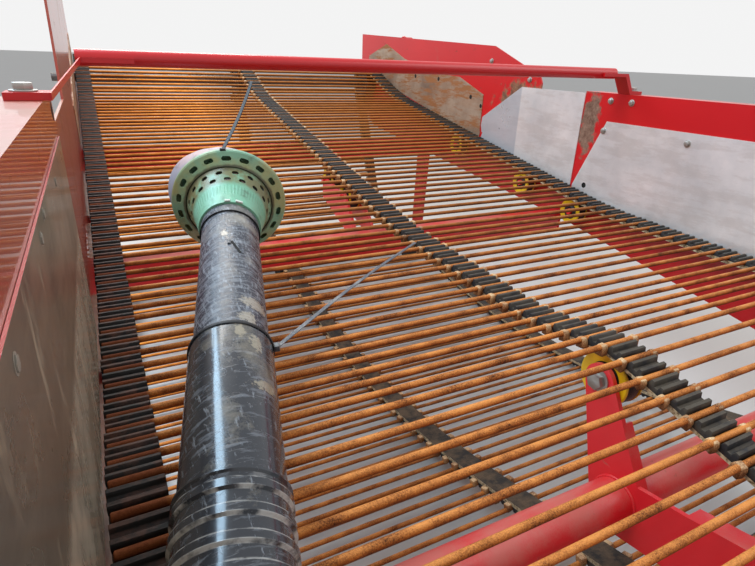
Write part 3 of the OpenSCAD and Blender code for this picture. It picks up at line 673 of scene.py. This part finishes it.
wallPatch = {"at": webSpot(757, 2050, 560), "size": (0.008, 0.16, 0.085), "dark": (0.09, 0.035, 0.018),
             "light": (0.3, 0.13, 0.06)}
seamPatch = {"at": webSpot(757, 1712, 532), "size": (0.008, 0.046, 0.105), "dark": (0.1, 0.04, 0.02),
             "light": (0.26, 0.15, 0.1)}
looks = {
    "redPaint": paintMaterial("redPaint", paintLook, 0.34),
    "barPaint": paintMaterial("barPaint", paintLook, 0.14, 0.06),
    "brownPaint": paintMaterial("brownPaint", brownLook, 0.45, 0.14, coat=0.45),
    "dustyLitPaint": paintMaterial("dustyLitPaint", dustyLitLook, 0.38, 0.12),
    "wornPaint": paintMaterial("wornPaint", paintLook, 0.36, 0.14, wallPatch),
    "scrapedPaint": paintMaterial("scrapedPaint", paintLook, 0.34, 0.12, seamPatch),
    "rodRust": rustMaterial("rodRust", rodLook),
    "knuckleRust": rustMaterial("knuckleRust", {
        "dark": (0.08, 0.032, 0.014, 1), "middle": (0.32, 0.13, 0.045, 1),
        "light": (0.6, 0.36, 0.16, 1), "rubbedAndLit": (0.84, 0.64, 0.38), "soil": (0.16, 0.09, 0.045)}, 0.5),
    "cleatRubber": rubberMaterial("cleatRubber", (0.013, 0.0125, 0.014), (0.17, 0.135, 0.085), 0.54,
                                  near=0.3, far=0.12, grain=(0.05, 0.7, 0.7)),
    "sideRubber": rubberMaterial("sideRubber", (0.009, 0.008, 0.008), (0.13, 0.05, 0.03), 0.42,
                                 grain=(0.05, 0.7, 0.7)),
    "wheelRubber": rubberMaterial("wheelRubber", (0.009, 0.009, 0.01), (0.09, 0.07, 0.055), 0.32, 0.45),
    "beltFabric": beltMaterial("beltFabric"),
    "galvanised": sheetMaterial("galvanised", zincLook, (0.26, 0.5), 0.5, 0.07),
    "foldedZinc": sheetMaterial("foldedZinc", foldLook, (0.26, 0.5), 0.5, 0.07),
    "wornPlate": sheetMaterial("wornPlate", wearLook, (0.35, 0.7), 0.4, 0.3),
    "polishedLiner": sheetMaterial("polishedLiner", linerLook, (0.24, 0.5), 0.55, 0.2, (1.0, 1.6, 0.3)),
    "zincSteel": sheetMaterial("zincSteel", plainZinc, (0.3, 0.55), 0.75, 0.12),
    "darkSteel": sheetMaterial("darkSteel", darkLook, (0.4, 0.7), 0.7, 0.25),
    "driveSteel": sheetMaterial("driveSteel", driveLook, (0.35, 0.65), 0.75, 0.2),
    "yellowPlastic": plasticMaterial("yellowPlastic", (0.86, 0.58, 0.01), (0.74, 0.43, 0.008),
                                     (0.3, 0.19, 0.06), 0.3),
    "guardPlastic": guardMaterial("guardPlastic", guardLook, 0.42, 0.24),
    "collarPlastic": guardMaterial("collarPlastic", collarLook, 0.36, 0.22),
    "tubePlastic": guardMaterial("tubePlastic", tubeLook, 0.4, 0.3),
    "greenPlastic": coneMaterial("greenPlastic", coneLook, coneAt),
    "greyPlastic": cupMaterial("greyPlastic", cupLook),
    "tieBlack": rubberMaterial("tieBlack", (0.016, 0.016, 0.018), (0.1, 0.09, 0.08), 0.25, 0.5),
    "tieGrey": rubberMaterial("tieGrey", (0.06, 0.066, 0.08), (0.24, 0.23, 0.22), 0.35, 0.35),
    "clipPlastic": rubberMaterial("clipPlastic", (0.62, 0.66, 0.6), (0.4, 0.38, 0.3), 0.4, 0.45),
    "dent": rubberMaterial("dent", (0.3, 0.27, 0.22), (0.12, 0.1, 0.08), 0.4, 0.3),
    "deepDark": rubberMaterial("deepDark", (0.004, 0.004, 0.004), (0.03, 0.02, 0.015), 0.3, 0.8),
}
print("materials made:", len(looks))

nodeLooks = {
    "galvanised": ["right_liner"],
    "foldedZinc": ["right_guide_plate"],
    "polishedLiner": ["left_liner"],
    "wornPlate": ["left_wear_plate", "right_wear_plate"],
    "wheelRubber": ["nose_rollers", "return_rollers", "drive_cogs"],
    "darkSteel": ["nose_axle", "front_return_axle", "rear_return_axle", "drive_axle"],
    "zincSteel": ["drive_bearings", "shaker_bearings"],
    "guardPlastic": ["outer_guard"],
    "collarPlastic": ["guard_collar"],
    "tubePlastic": ["inner_guard"],
    "greenPlastic": ["guard_cone"],
    "greyPlastic": ["guard_cup"],
    "driveSteel": ["front_tube", "front_yoke", "front_fork", "rear_yoke", "rear_fork"],
    "brownPaint": ["left_wall", "left_rear_wall"],
    "dustyLitPaint": ["shaker_frame", "front_beam", "mid_beam", "rear_beam", "left_roller_bracket",
                   "mid_roller_bracket", "right_roller_bracket"],
    "barPaint": ["guard_bar"],
    "wornPaint": ["right_rear_wall"],
    "scrapedPaint": ["right_wall"],
    "beltFabric": ["left_belt", "mid_belt", "right_belt"],
    "rodRust": ["web_rods"],
}
lookOfNode = {node: look for look, names in nodeLooks.items() for node in names}
for name, obj in nodes.items():
    obj.data.materials.clear()
    obj.data.materials.append(looks[lookOfNode.get(name, "redPaint")])


# The web: every rod's place, in order round the loop, read from the CAD rods

def islandCentres(obj):
    cells = bmesh.new()
    cells.from_mesh(obj.data)
    bmesh.ops.remove_doubles(cells, verts=cells.verts, dist=1e-6)
    seen, centres = set(), []
    for start in cells.verts:
        if start in seen:
            continue
        heap, island = [start], []
        seen.add(start)
        while heap:
            vert = heap.pop()
            island.append(vert.co)
            for edge in vert.link_edges:
                other = edge.other_vert(vert)
                if other not in seen:
                    seen.add(other)
                    heap.append(other)
        low = Vector([min(co[k] for co in island) for k in range(3)])
        high = Vector([max(co[k] for co in island) for k in range(3)])
        centres.append((low + high) / 2)
    cells.free()
    return centres


def loopOrder(centres):
    rest = sorted(centres, key=lambda c: c.z)
    order = [rest.pop()]
    while rest:
        nearest = min(rest, key=lambda c: (c - order[-1]).length_squared)
        rest.remove(nearest)
        order.append(nearest)
    area = sum(a.y * b.z - b.y * a.z for a, b in zip(order, order[1:] + order[:1]))
    return order if area < 0 else order[::-1]


def placeOnLoop(spot, along):
    tangent = Vector((0, along.y, along.z)).normalized()
    outward = Vector((0, -tangent.z, tangent.y))
    return Matrix.Translation(spot) @ Matrix((Vector((1, 0, 0)), tangent, outward)).transposed().to_4x4()


rodSpots = loopOrder(islandCentres(nodes["web_rods"]))
rodNumber = len(rodSpots)
rodPlaces = [placeOnLoop(rodSpots[i], rodSpots[(i + 1) % rodNumber] - rodSpots[i - 1])
             for i in range(rodNumber)]
gapPlaces = [placeOnLoop((rodSpots[i] + rodSpots[(i + 1) % rodNumber]) / 2,
                         rodSpots[(i + 1) % rodNumber] - rodSpots[i]) for i in range(rodNumber)]
webMiddle = rodSpots[0].x
print("web read:", rodNumber, "rods")

rodForm = {"radius": 5.2 * mm, "sides": 12, "chamfer": 1.0 * mm, "wobble": 0.35 * mm}


def makeRods():
    low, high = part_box("web_rods")
    rod = crossRod(rodForm["sides"], rodForm["radius"], high.x - low.x)
    bevelled(rod, rodForm["chamfer"], 1)
    places = []
    for place in rodPlaces:
        shift = Vector((0, random.uniform(-1, 1), random.uniform(-1, 0))) * rodForm["wobble"]
        turn = Matrix.Rotation(random.uniform(0, math.pi), 4, "X")
        places.append(place @ Matrix.Translation(shift) @ turn)
    rods = copies(rod, places, "webRods")
    finishPiece(rods, "rodRust", "root", "rusty_steel", "web_rods", angle=35)


knuckleForm = {"wide": 12 * mm, "long": 17 * mm, "low": -15 * mm, "high": 5.2 * mm, "from": 36 * mm,
               "taper": (0.88, 0.66), "bevel": 1.6 * mm}


def makeKnuckles():  # forged clips that hold each rod at both edges of the middle belt
    form = knuckleForm
    bpy.ops.mesh.primitive_cube_add(size=1)
    knuckle = bpy.context.object
    knuckle.scale = (form["wide"], form["long"], form["high"] - form["low"])
    knuckle.location = (0, 0, (form["high"] + form["low"]) / 2)
    applyPlace(knuckle)
    bpy.ops.object.mode_set(mode="EDIT")
    bpy.ops.mesh.select_all(action="SELECT")
    bpy.ops.mesh.subdivide(number_cuts=2)
    bpy.ops.object.mode_set(mode="OBJECT")
    for vert in knuckle.data.vertices:
        if vert.co.z > 0:
            vert.co.x *= form["taper"][0]
            vert.co.y *= form["taper"][1]
    bevelled(knuckle, form["bevel"])
    places = []
    for place in rodPlaces:
        for side in (-1, 1):
            spot = Matrix.Translation((side * (form["from"] + random.uniform(-1.5, 1.5) * mm), 0, 0))
            size = Matrix.Diagonal((random.uniform(0.85, 1.15), random.uniform(0.8, 1.1),
                                    random.uniform(0.85, 1.0), 1))
            lean = Matrix.Rotation(random.uniform(-0.25, 0.25), 4, "Z")
            places.append(place @ spot @ lean @ size)
    knuckles = copies(knuckle, places, "rodKnuckles")
    finishPiece(knuckles, "knuckleRust", "root", "rusty_steel", angle=50)


cleatForm = {"wide": 57 * mm, "long": 27 * mm, "low": -6.2 * mm, "high": 5.2 * mm, "groove": 5.4 * mm,
             "cuts": (0.11, 0.2, 0.41), "ridge": (0.15, 0.45)}
cleatRows = [("left", "sideRubber", 1.0), ("mid", "cleatRubber", 1.45), ("right", "cleatRubber", 1.45)]


def makeCleats(x, name, look, raised):  # rubber blocks with two flat ridges, in the gaps between the rods
    form = cleatForm
    tall = form["high"] - form["low"]
    bpy.ops.mesh.primitive_cube_add(size=1)
    cleat = bpy.context.object
    cleat.scale = (form["wide"], form["long"], tall)
    cleat.location = (0, 0, (form["high"] + form["low"]) / 2)
    applyPlace(cleat)
    bpy.ops.object.mode_set(mode="EDIT")
    for share in form["cuts"] + tuple(-cut for cut in form["cuts"]):
        bpy.ops.mesh.select_all(action="SELECT")
        bpy.ops.mesh.bisect(plane_co=(0, share * form["long"], 0), plane_no=(0, 1, 0))
    bpy.ops.object.mode_set(mode="OBJECT")
    for vert in cleat.data.vertices:
        if vert.co.z > 0:
            across = abs(vert.co.y) / form["long"]
            if not form["ridge"][0] < across < form["ridge"][1]:
                vert.co.z -= form["groove"]
    bevelled(cleat, 0.6 * mm, 1)
    places = []
    for place in gapPlaces:
        jitter = Matrix.Translation((x + random.uniform(-0.8, 0.8) * mm, random.uniform(-0.6, 0.6) * mm, 0))
        onTop = (place.to_3x3() @ Vector((0, 0, 1))).z > 0.8
        places.append(place @ jitter @ Matrix.Diagonal((1, 1, raised if onTop else 1.0, 1)))
    cleats = copies(cleat, places, name)
    finishPiece(cleats, look, "root", "belt_rubber", angle=30)


makeRods()
makeKnuckles()
for side, look, raised in cleatRows:
    low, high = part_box(side + "_belt")
    makeCleats((low.x + high.x) / 2 - webMiddle, side + "Cleats", look, raised)
print("web made")


# Rollers: flanged yellow wheels with a black tyre or core between the flanges

def turnedPart(profile, name, sides=48):  # a closed outline (radius, x) turned round the x axis
    rings = len(profile)
    verts, faces = [], []
    for k in range(sides):
        turn = 2 * math.pi * k / sides
        verts += [(x, radius * math.cos(turn), radius * math.sin(turn)) for radius, x in profile]
    for k in range(sides):
        a, b = k * rings, (k + 1) % sides * rings
        for i in range(rings):
            j = (i + 1) % rings
            faces.append((a + i, a + j, b + j, b + i))
    data = bpy.data.meshes.new(name)
    data.from_pydata(verts, [], faces)
    obj = bpy.data.objects.new(name, data)
    bpy.context.scene.collection.objects.link(obj)
    takeOnly(obj)
    bpy.ops.object.mode_set(mode="EDIT")
    bpy.ops.mesh.select_all(action="SELECT")
    bpy.ops.mesh.normals_make_consistent(inside=False)
    bpy.ops.object.mode_set(mode="OBJECT")
    return obj


wheelForm = {"rim": 4.5 * mm, "bore": 10.4 * mm, "hub": 15 * mm, "inset": 3.5 * mm, "dish": 0.62,
             "web": (0.6, 0.66), "tyreDrop": 1.2 * mm}


def makeWheels(name, source, spots, radius, width, body):
    form = wheelForm
    half, rim, inset = width / 2, form["rim"], form["inset"]
    dish, tyre = radius * form["dish"], radius - form["tyreDrop"]
    flanges = []
    for side in (-1, 1):
        profile = [(dish, side * (half - inset)), (radius - 2 * mm, side * half),
                   (radius, side * (half - 1.5 * mm)), (radius, side * (half - rim)),
                   (dish, side * (half - inset - rim))]
        flanges.append(turnedPart(profile, name + "Flange"))
    flange = joined(flanges, name + "Flanges")
    inner, outer = [radius * share for share in form["web"]]
    steps = [(form["bore"], inset), (form["hub"], 1 * mm), (form["hub"] + 3 * mm, inset),
             (inner, inset + 1 * mm), (outer, rim + inset + 0.5 * mm), (tyre - 1.5 * mm, rim + 0.5 * mm),
             (tyre, rim + 3 * mm)]  # radius and depth below the side
    core = turnedPart([(out, deep - half) for out, deep in steps]
                      + [(out, half - deep) for out, deep in reversed(steps)], name + "Core")
    places = [Matrix.Translation(spot) @ Matrix.Rotation(random.uniform(0, 6.28), 4, "X") for spot in spots]
    flanges = copies(flange, places, name + "Flanges")
    cores = copies(core, places, name + "Cores")
    finishPiece(flanges, "yellowPlastic", body, "yellow_plastic", *source, angle=40)
    finishPiece(cores, "wheelRubber", body, "belt_rubber", angle=40)


supportNodes = ["left_support_rollers", "mid_support_rollers", "right_support_rollers"]
agitator = {"crest": (890, 226), "wheels": (-722.7, 0, 722.7), "arms": (-697.7, -25, 697.7),
            "tube": (812, 40), "pin": 9.9 * mm, "wheelHalf": 21.5, "armHalf": 9, "headOut": 4}


def makeAgitatorPins():
    pins, heads = [], []
    for x, arm in zip(agitator["wheels"], agitator["arms"]):
        side = 1 if arm > x else -1
        low, high = sorted((x - side * agitator["wheelHalf"], arm + side * agitator["armHalf"]))
        middle = webSpot((low + high) / 2, *agitator["crest"])
        pin = crossRod(32, agitator["pin"], (high - low) * mm, middle)
        bevelled(pin, 1.2 * mm)
        pins.append(pin)
        head = webSpot(arm + side * agitator["headOut"], *agitator["crest"])
        heads.append(facing(head, (side, 0, 0), 0.4))
    pins = joined(pins, "agitatorPins")
    finishPiece(pins, "zincSteel", "agitator", "zinc_steel", angle=30)
    makeBolts("agitatorBolts", "agitator", heads, 1.55)


# Bolts: hex heads on washers, each with its own turn

boltForm = {"flat": 9.5 * mm, "tall": 6.5 * mm, "washer": 12.5 * mm, "thin": 1.8 * mm}


def boltPattern(form, size=1.0):
    parts = []
    for sides, radius, low, tall in ((32, form["washer"], 0, form["thin"]),
                                     (6, form["flat"], form["thin"], form["tall"])):
        bpy.ops.mesh.primitive_cylinder_add(vertices=sides, radius=radius * size, depth=tall * size,
                                            location=(0, 0, (low + tall / 2) * size))
        part = bpy.context.object
        applyPlace(part)
        bevelled(part, 0.6 * mm)
        parts.append(part)
    return joined(parts, "bolt")


def makeBolts(name, body, places, size=1.0, look="zincSteel"):
    bolts = copies(boltPattern(boltForm, size), places, name)
    finishPiece(bolts, look, body, "zinc_steel", angle=30)


def ringOf(spot, normal, radius, count, start=0.0):
    places = []
    for k in range(count):
        turn = start + 2 * math.pi * k / count
        offset = Vector((0, math.cos(turn), math.sin(turn))) * radius
        places.append(facing(spot + offset, normal, random.uniform(0, 1)))
    return places


wallBolts = [(757, 1641, 603), (757, 1563, 603), (754.7, 1646, 511), (754.7, 1354, 512),
             (757, 2259, 708), (757, 2023, 648), (754.7, 420, 500), (754.7, 900, 505)]
linerStuds = [(-754.7, 857, 565), (-754.7, 665, 563), (-754.7, 1085, 561), (-754.7, 904, 572),
              (-754.7, 420, 540)]
footBolts = [((-777, 1200, 649.3), 0.2), ((796, 1600, 635.4), 0.5)]
outerForm = {"drive": (792, 3360, 575), "driveRing": 47 * mm, "hangers": (740, 2770), "hangerFace": 770.3,
             "shifts": (-62, -8), "above": 62, "bearingFace": 784, "bearingRing": 32.5 * mm}
wallLow = {"slope": 0.152, "at": 1042, "level": 80}


def makeWallBolts():
    places = [facing(webSpot(*spot), (-1, 0, 0), random.uniform(0, 1)) for spot in wallBolts]
    makeBolts("wallBolts", "root", places, 0.82)
    studs = [facing(webSpot(*spot), (1, 0, 0)) for spot in linerStuds]
    flat = Matrix.Diagonal((1, 1, 0.3, 1))
    makeBolts("linerStuds", "root", [stud @ flat for stud in studs], 0.5, "dent")
    form, outer, small = outerForm, [], []
    for side in (-1, 1):
        normal = (side, 0, 0)
        x, y, z = form["drive"]
        outer += ringOf(webSpot(side * x, y, z), normal, form["driveRing"], 4, 0.4)
        for y in form["hangers"]:
            top = wallLow["level"] + wallLow["slope"] * (y - wallLow["at"]) + form["above"]
            outer += [facing(webSpot(side * form["hangerFace"], y + shift, top), normal, 0.3)
                      for shift in form["shifts"]]
    makeBolts("outerBolts", "root", outer)
    for side in (-1, 1):
        middle = webSpot(side * form["bearingFace"], *agitator["tube"])
        small += ringOf(middle, (side, 0, 0), form["bearingRing"], 4, 0.8)
    makeBolts("bearingBolts", "root", small, 0.78)
    foot = [facing(webSpot(*spot), (0, 0, 1), turn) for spot, turn in footBolts]
    makeBolts("footBolts", "root", foot, 1.25)


holeSpots = [(754.7, 1685, 326, 9), (754.7, 2849, 628, 9), (754.7, 2638, 624, 9), (754.7, 2376, 563, 9),
             (754.7, 2300, 532, 8), (-757, 1302, 617, 12)]


def makeHoles():  # punched holes, shown as near-black discs: painted shade in the holes
    parts = []
    for x, y, z, radius in holeSpots:
        inward = -1 if x > 0 else 1
        parts.append(crossRod(32, radius * mm, 0.5 * mm, webSpot(x + inward * 0.1, y, z)))
    finishPiece(joined(parts, "punchedHoles"), "deepDark", "root", "zinc_steel")


# Weld beads: closed rippled beads, straight or round

weldForm = {"beams": [(330, 0), (1800, 180), (2550, 340)], "wallFace": 754.6, "beamHalf": 36,
            "strip": (68 * mm, 2.4 * mm), "boss": (763, 3000, 760), "bossRing": (49 * mm, 3.2 * mm),
            "armSides": (-5, 5), "armRing": (39 * mm, 2.6 * mm), "ringGap": 2.2 * mm, "ripple": 1.4 * mm}


def weldStrip(length, radius):
    rings = max(16, int(length / weldForm["ringGap"]))
    bpy.ops.mesh.primitive_uv_sphere_add(segments=10, ring_count=rings)
    bead = bpy.context.object
    for vert in bead.data.vertices:
        share = math.asin(max(-1, min(1, vert.co.z))) / (math.pi / 2)
        flat = Vector((vert.co.x, vert.co.y))
        if flat.length > 1e-5:
            ripple = 1 + 0.16 * math.cos(share * length / weldForm["ripple"])
            flat = flat.normalized() * radius * min(1, 5 * (1 - abs(share))) * ripple
        vert.co = (flat.x, flat.y, share * length / 2)
    return bead


def weldRing(major, minor):
    ring = crossRing(major, minor, (120, 8))
    for vert in ring.data.vertices:
        turn = math.atan2(vert.co.z, vert.co.y)
        vert.co.x *= 1 + 0.25 * math.cos(turn * 41) + random.uniform(-0.05, 0.05)
    return ring


def makeWelds():
    form, strips = weldForm, []
    lying = Matrix.Rotation(math.pi / 2, 4, "X")
    for y, z in form["beams"]:
        for x in (-form["wallFace"], form["wallFace"]):
            for shift in (-form["beamHalf"], form["beamHalf"]):
                strips.append(Matrix.Translation(webSpot(x, y + shift, z)))
                strips.append(Matrix.Translation(webSpot(x, y, z + shift)) @ lying)
    beads = copies(weldStrip(*form["strip"]), strips, "beamWelds")
    finishPiece(beads, "redPaint", "root", "red_paint", angle=60)
    x, y, z = form["boss"]
    bosses = [Matrix.Translation(webSpot(side * x, y, z)) for side in (-1, 1)]
    rings = copies(weldRing(*form["bossRing"]), bosses, "bossWelds")
    finishPiece(rings, "redPaint", "root", "red_paint", angle=60)
    seams = [Matrix.Translation(webSpot(x + shift, *agitator["tube"]))
             for x in agitator["arms"] for shift in form["armSides"]]
    arms = copies(weldRing(*form["armRing"]), seams, "armWelds")
    finishPiece(arms, "dustyLitPaint", "agitator", "red_paint", angle=60)


footForm = {"x": 755.85, "thick": 1.7, "tall": 36, "plates": [
    ("rightLinerFoot", "galvanised", "galvanised", [(800, 280), (1000, 270), (1480, 272), (1737, 306)]),
    ("guidePlateFoot", "foldedZinc", "galvanised", [(1750, 302), (2200, 400), (2276, 430)]),
    ("wearPlateFoot", "wornPlate", "worn_plate", [(2290, 430), (3380, 660)])]}


def makeFeet(form):  # the feet of the right-hand plates, which reach down to the web
    for name, look, slot, edge in form["plates"]:
        strips = []
        for (y, z), (nextY, nextZ) in zip(edge, edge[1:]):
            middle = webSpot(form["x"], (y + nextY) / 2, (z + nextZ) / 2 - form["tall"] / 2)
            slope = math.atan2(nextZ - z, nextY - y)
            place = Matrix.Translation(middle) @ Matrix.Rotation(slope, 4, "X")
            size = (form["thick"] * mm, math.hypot(nextY - y, nextZ - z) * mm, form["tall"] * mm)
            strips.append(block(place, size, 0.3 * mm, "footStrip"))
        finishPiece(joined(strips, name), look, "root", slot)


# Guard details: lips, clips, ties, the torn slit and its flaps

def shaftBand(at, radius, thick, wide, name):
    band = crossRing(radius, thick, (96, 10))
    for vert in band.data.vertices:
        vert.co.x *= wide / (2 * thick)
    band.data.transform(onShaft @ Matrix.Translation((at, 0, 0)))
    band.name = name
    smooth(band, 50)
    return band


def strip(start, end, wide, thick, drop, name):  # a thin strap from start to end with a soft sag
    start, end = Vector(start), Vector(end)
    bpy.ops.mesh.primitive_cube_add(size=1)
    strap = bpy.context.object
    strap.scale = (1, wide, thick)
    applyPlace(strap)
    bpy.ops.object.mode_set(mode="EDIT")
    for k in range(1, 12):
        bpy.ops.mesh.select_all(action="SELECT")
        bpy.ops.mesh.bisect(plane_co=(k / 12 - 0.5, 0, 0), plane_no=(1, 0, 0))
    bpy.ops.object.mode_set(mode="OBJECT")
    ahead = end - start
    flat = ahead.cross(Vector((0, 0, 1))).normalized()
    top = flat.cross(ahead).normalized()
    for vert in strap.data.vertices:
        share = vert.co.x + 0.5
        taper = 1 - 0.15 * share
        rise = drop * math.sin(math.pi * share)
        vert.co = start + ahead * share + flat * vert.co.y * taper + top * (vert.co.z + rise)
    bevelled(strap, thick * 0.3, 1)
    strap.name = name
    return strap


tieForm = {"endAt": 0.2655, "endRadius": 50.9 * mm, "headRadius": 54.4 * mm, "headTurn": math.radians(-84),
           "head": (9 * mm, 9 * mm, 7 * mm), "tailEnd": webSpot(-213, 1192, 391),
           "coneTop": (0.694, 102.4 * mm, 0.05), "knot": (8 * mm, 10 * mm, 5 * mm),
           "coneTail": webSpot(-436, 1440, 654)}


def makeTies():
    form = tieForm
    band = shaftBand(form["endAt"], form["endRadius"], 0.8 * mm, 5.2 * mm, "endTie")
    finishPiece(band, "tieBlack", "outer_guard", "guard_plastic")
    headAt = (form["endAt"], form["headRadius"], form["headTurn"])
    clasp = block(shaftPlace(*headAt), form["head"], 1.2 * mm, "tieHead")
    tail = strip(shaftSpot(*headAt), form["tailEnd"], 6.5 * mm, 1.3 * mm, 6 * mm, "tieTail")
    tie = joined([clasp, tail], "endTieHead")
    finishPiece(tie, "tieGrey", "outer_guard", "guard_plastic", angle=30)
    start = shaftSpot(*form["coneTop"])
    knot = block(Matrix.Translation(start) @ shaftTurn, form["knot"], 1.0 * mm, "knot")
    upper = strip(start, form["coneTail"], 7.5 * mm, 1.6 * mm, -5 * mm, "coneTail")
    coneTie = joined([upper, knot], "coneTie")
    finishPiece(coneTie, "tieBlack", "inner_guard", "guard_plastic", angle=30)


slitForm = {"place": (0.450, 45.65 * mm, -0.23), "slant": 0.38, "size": (34 * mm, 4.6 * mm, 1.2 * mm)}


def makeSlit(form):  # a slanting tear in the inner tube, shown as a near-black block: painted shade inside the tear
    place = shaftPlace(*form["place"]) @ Matrix.Rotation(form["slant"], 4, "Z")
    slit = block(place, form["size"], 0.5 * mm, "tornSlit")
    finishPiece(slit, "deepDark", "inner_guard", "guard_plastic")


lips = [  # name, distance along the shaft, radius, half thickness, width, look, body
    ("outerLip", 0.2665, 50.1 * mm, 1.3 * mm, 4.2 * mm, "guardPlastic", "outer_guard"),
    ("hubLip", 0.5640, 48.0 * mm, 1.0 * mm, 2.2 * mm, "deepDark", "inner_guard")]
clipForm = {"at": 0.5905, "radius": 53.2 * mm, "rows": [(0.02, 9), (-0.34, 12)]}  # turn, length
flapForm = {"radius": 47.2 * mm, "rows": [  # along, turn, tilt, length, width
    (0.444, -0.44, -0.1, 18, 4), (0.462, -0.02, 0.1, 12, 5)]}


def makeGuardDetails():
    makeSlit(slitForm)
    for name, at, radius, thick, wide, look, body in lips:
        finishPiece(shaftBand(at, radius, thick, wide, name), look, body, "guard_plastic")
    clips = []
    for turn, long in clipForm["rows"]:
        place = shaftPlace(clipForm["at"], clipForm["radius"], turn)
        clips.append(block(place, (6 * mm, long * mm, 2.6 * mm), 0.8 * mm, "clip"))
    clips = joined(clips, "hubClips")
    finishPiece(clips, "clipPlastic", "inner_guard", "guard_plastic", angle=30)
    flaps = []
    for at, turn, tilt, long, wide in flapForm["rows"]:
        place = shaftPlace(at, flapForm["radius"], turn) @ Matrix.Rotation(tilt, 4, "Y")
        flaps.append(block(place, (long * mm, wide * mm, 1.6 * mm), 0.7 * mm, "flap"))
    flaps = joined(flaps, "tornFlaps")
    finishPiece(flaps, "tubePlastic", "inner_guard", "guard_plastic", angle=30)


supportSpots = [centre for name in supportNodes for centre in islandCentres(nodes[name])]
agitatorSpots = [webSpot(x, *agitator["crest"]) for x in agitator["wheels"]]
makeWheels("support", supportNodes, supportSpots, 42.4 * mm, 40 * mm, "root")
makeWheels("agitator", ["shaker_rollers"], agitatorSpots, 46.9 * mm, 40 * mm, "agitator")
makeAgitatorPins()
makeWallBolts()
makeHoles()
makeWelds()
makeFeet(footForm)
makeTies()
makeGuardDetails()
print("fixings made")


# Floor, world and lamps

stageLook = {"floor": (0.6, 0.58, 0.55), "shade": 0.94, "size": 300, "middle": (0.8, -1.2), "gap": 8 * mm,
             "sky": (0.9, 0.94, 1.0), "skyStrength": 0.62, "backdrop": (0.9, 0.9, 0.9)}


def makeStage(look):
    level = cadBox[0][2] - look["gap"]
    bpy.ops.mesh.primitive_plane_add(size=look["size"], location=look["middle"] + (level,))
    floor = bpy.context.object
    floor.name = "floor"
    material, tree, shader = newMaterial("paleFloor", roughness=0.85)
    cloud = noiseAt(tree, objectCoords(tree), 1.2)
    darker = tuple(part * look["shade"] for part in look["floor"])
    feed(tree, mixed(tree, cloud, look["floor"], darker), shader.inputs["Base Color"])
    floor.data.materials.append(material)
    world = bpy.data.worlds.new("studio")
    bpy.context.scene.world = world
    world.use_nodes = True
    tree = world.node_tree
    ambient = tree.nodes["Background"]
    ambient.inputs["Color"].default_value = look["sky"] + (1.0,)
    ambient.inputs["Strength"].default_value = look["skyStrength"]
    backdrop = addNode(tree, "ShaderNodeBackground", Strength=1.0)
    backdrop.inputs["Color"].default_value = look["backdrop"] + (1.0,)
    path = addNode(tree, "ShaderNodeLightPath")
    seen = plus(tree, path.outputs["Is Camera Ray"], path.outputs["Is Glossy Ray"])
    mix = addNode(tree, "ShaderNodeMixShader")
    feed(tree, plus(tree, seen, path.outputs["Is Transmission Ray"]), mix.inputs[0])
    feed(tree, ambient.outputs[0], mix.inputs[1])
    feed(tree, backdrop.outputs[0], mix.inputs[2])
    feed(tree, mix.outputs[0], tree.nodes["World Output"].inputs["Surface"])


lamps = [  # name, place, aimed at, width, length, watts, tint
    ("key", (-1.9, -1.6, 2.9), (0.8, -1.7, -0.4), 1.5, 1.5, 90, (1.0, 1.0, 1.0)),
    ("fill", (3.4, -3.4, 2.2), (0.9, -1.8, -0.4), 2.4, 2.4, 34, (1.0, 1.0, 1.0)),
    ("rear", (0.6, 2.2, 2.6), (0.8, -1.2, -0.3), 2.2, 2.2, 110, (1.0, 0.96, 0.9)),
    ("strip", (-0.53, -0.66, 1.45), (0.15, -2.19, -0.38), 0.65, 1.8, 52, (0.52, 0.77, 1.0)),
]


def makeLamps(table):
    for name, place, aim, width, length, watts, tint in table:
        data = bpy.data.lights.new(name, "AREA")
        data.shape = "RECTANGLE"
        data.energy = watts
        data.size = width
        data.size_y = length
        data.color = tint
        lamp = bpy.data.objects.new(name, data)
        bpy.context.scene.collection.objects.link(lamp)
        lamp.location = place
        lamp.rotation_euler = (Vector(aim) - Vector(place)).to_track_quat("-Z", "Y").to_euler()


makeStage(stageLook)
makeLamps(lamps)
bpy.context.scene.view_settings.view_transform = "Standard"
print("stage made")
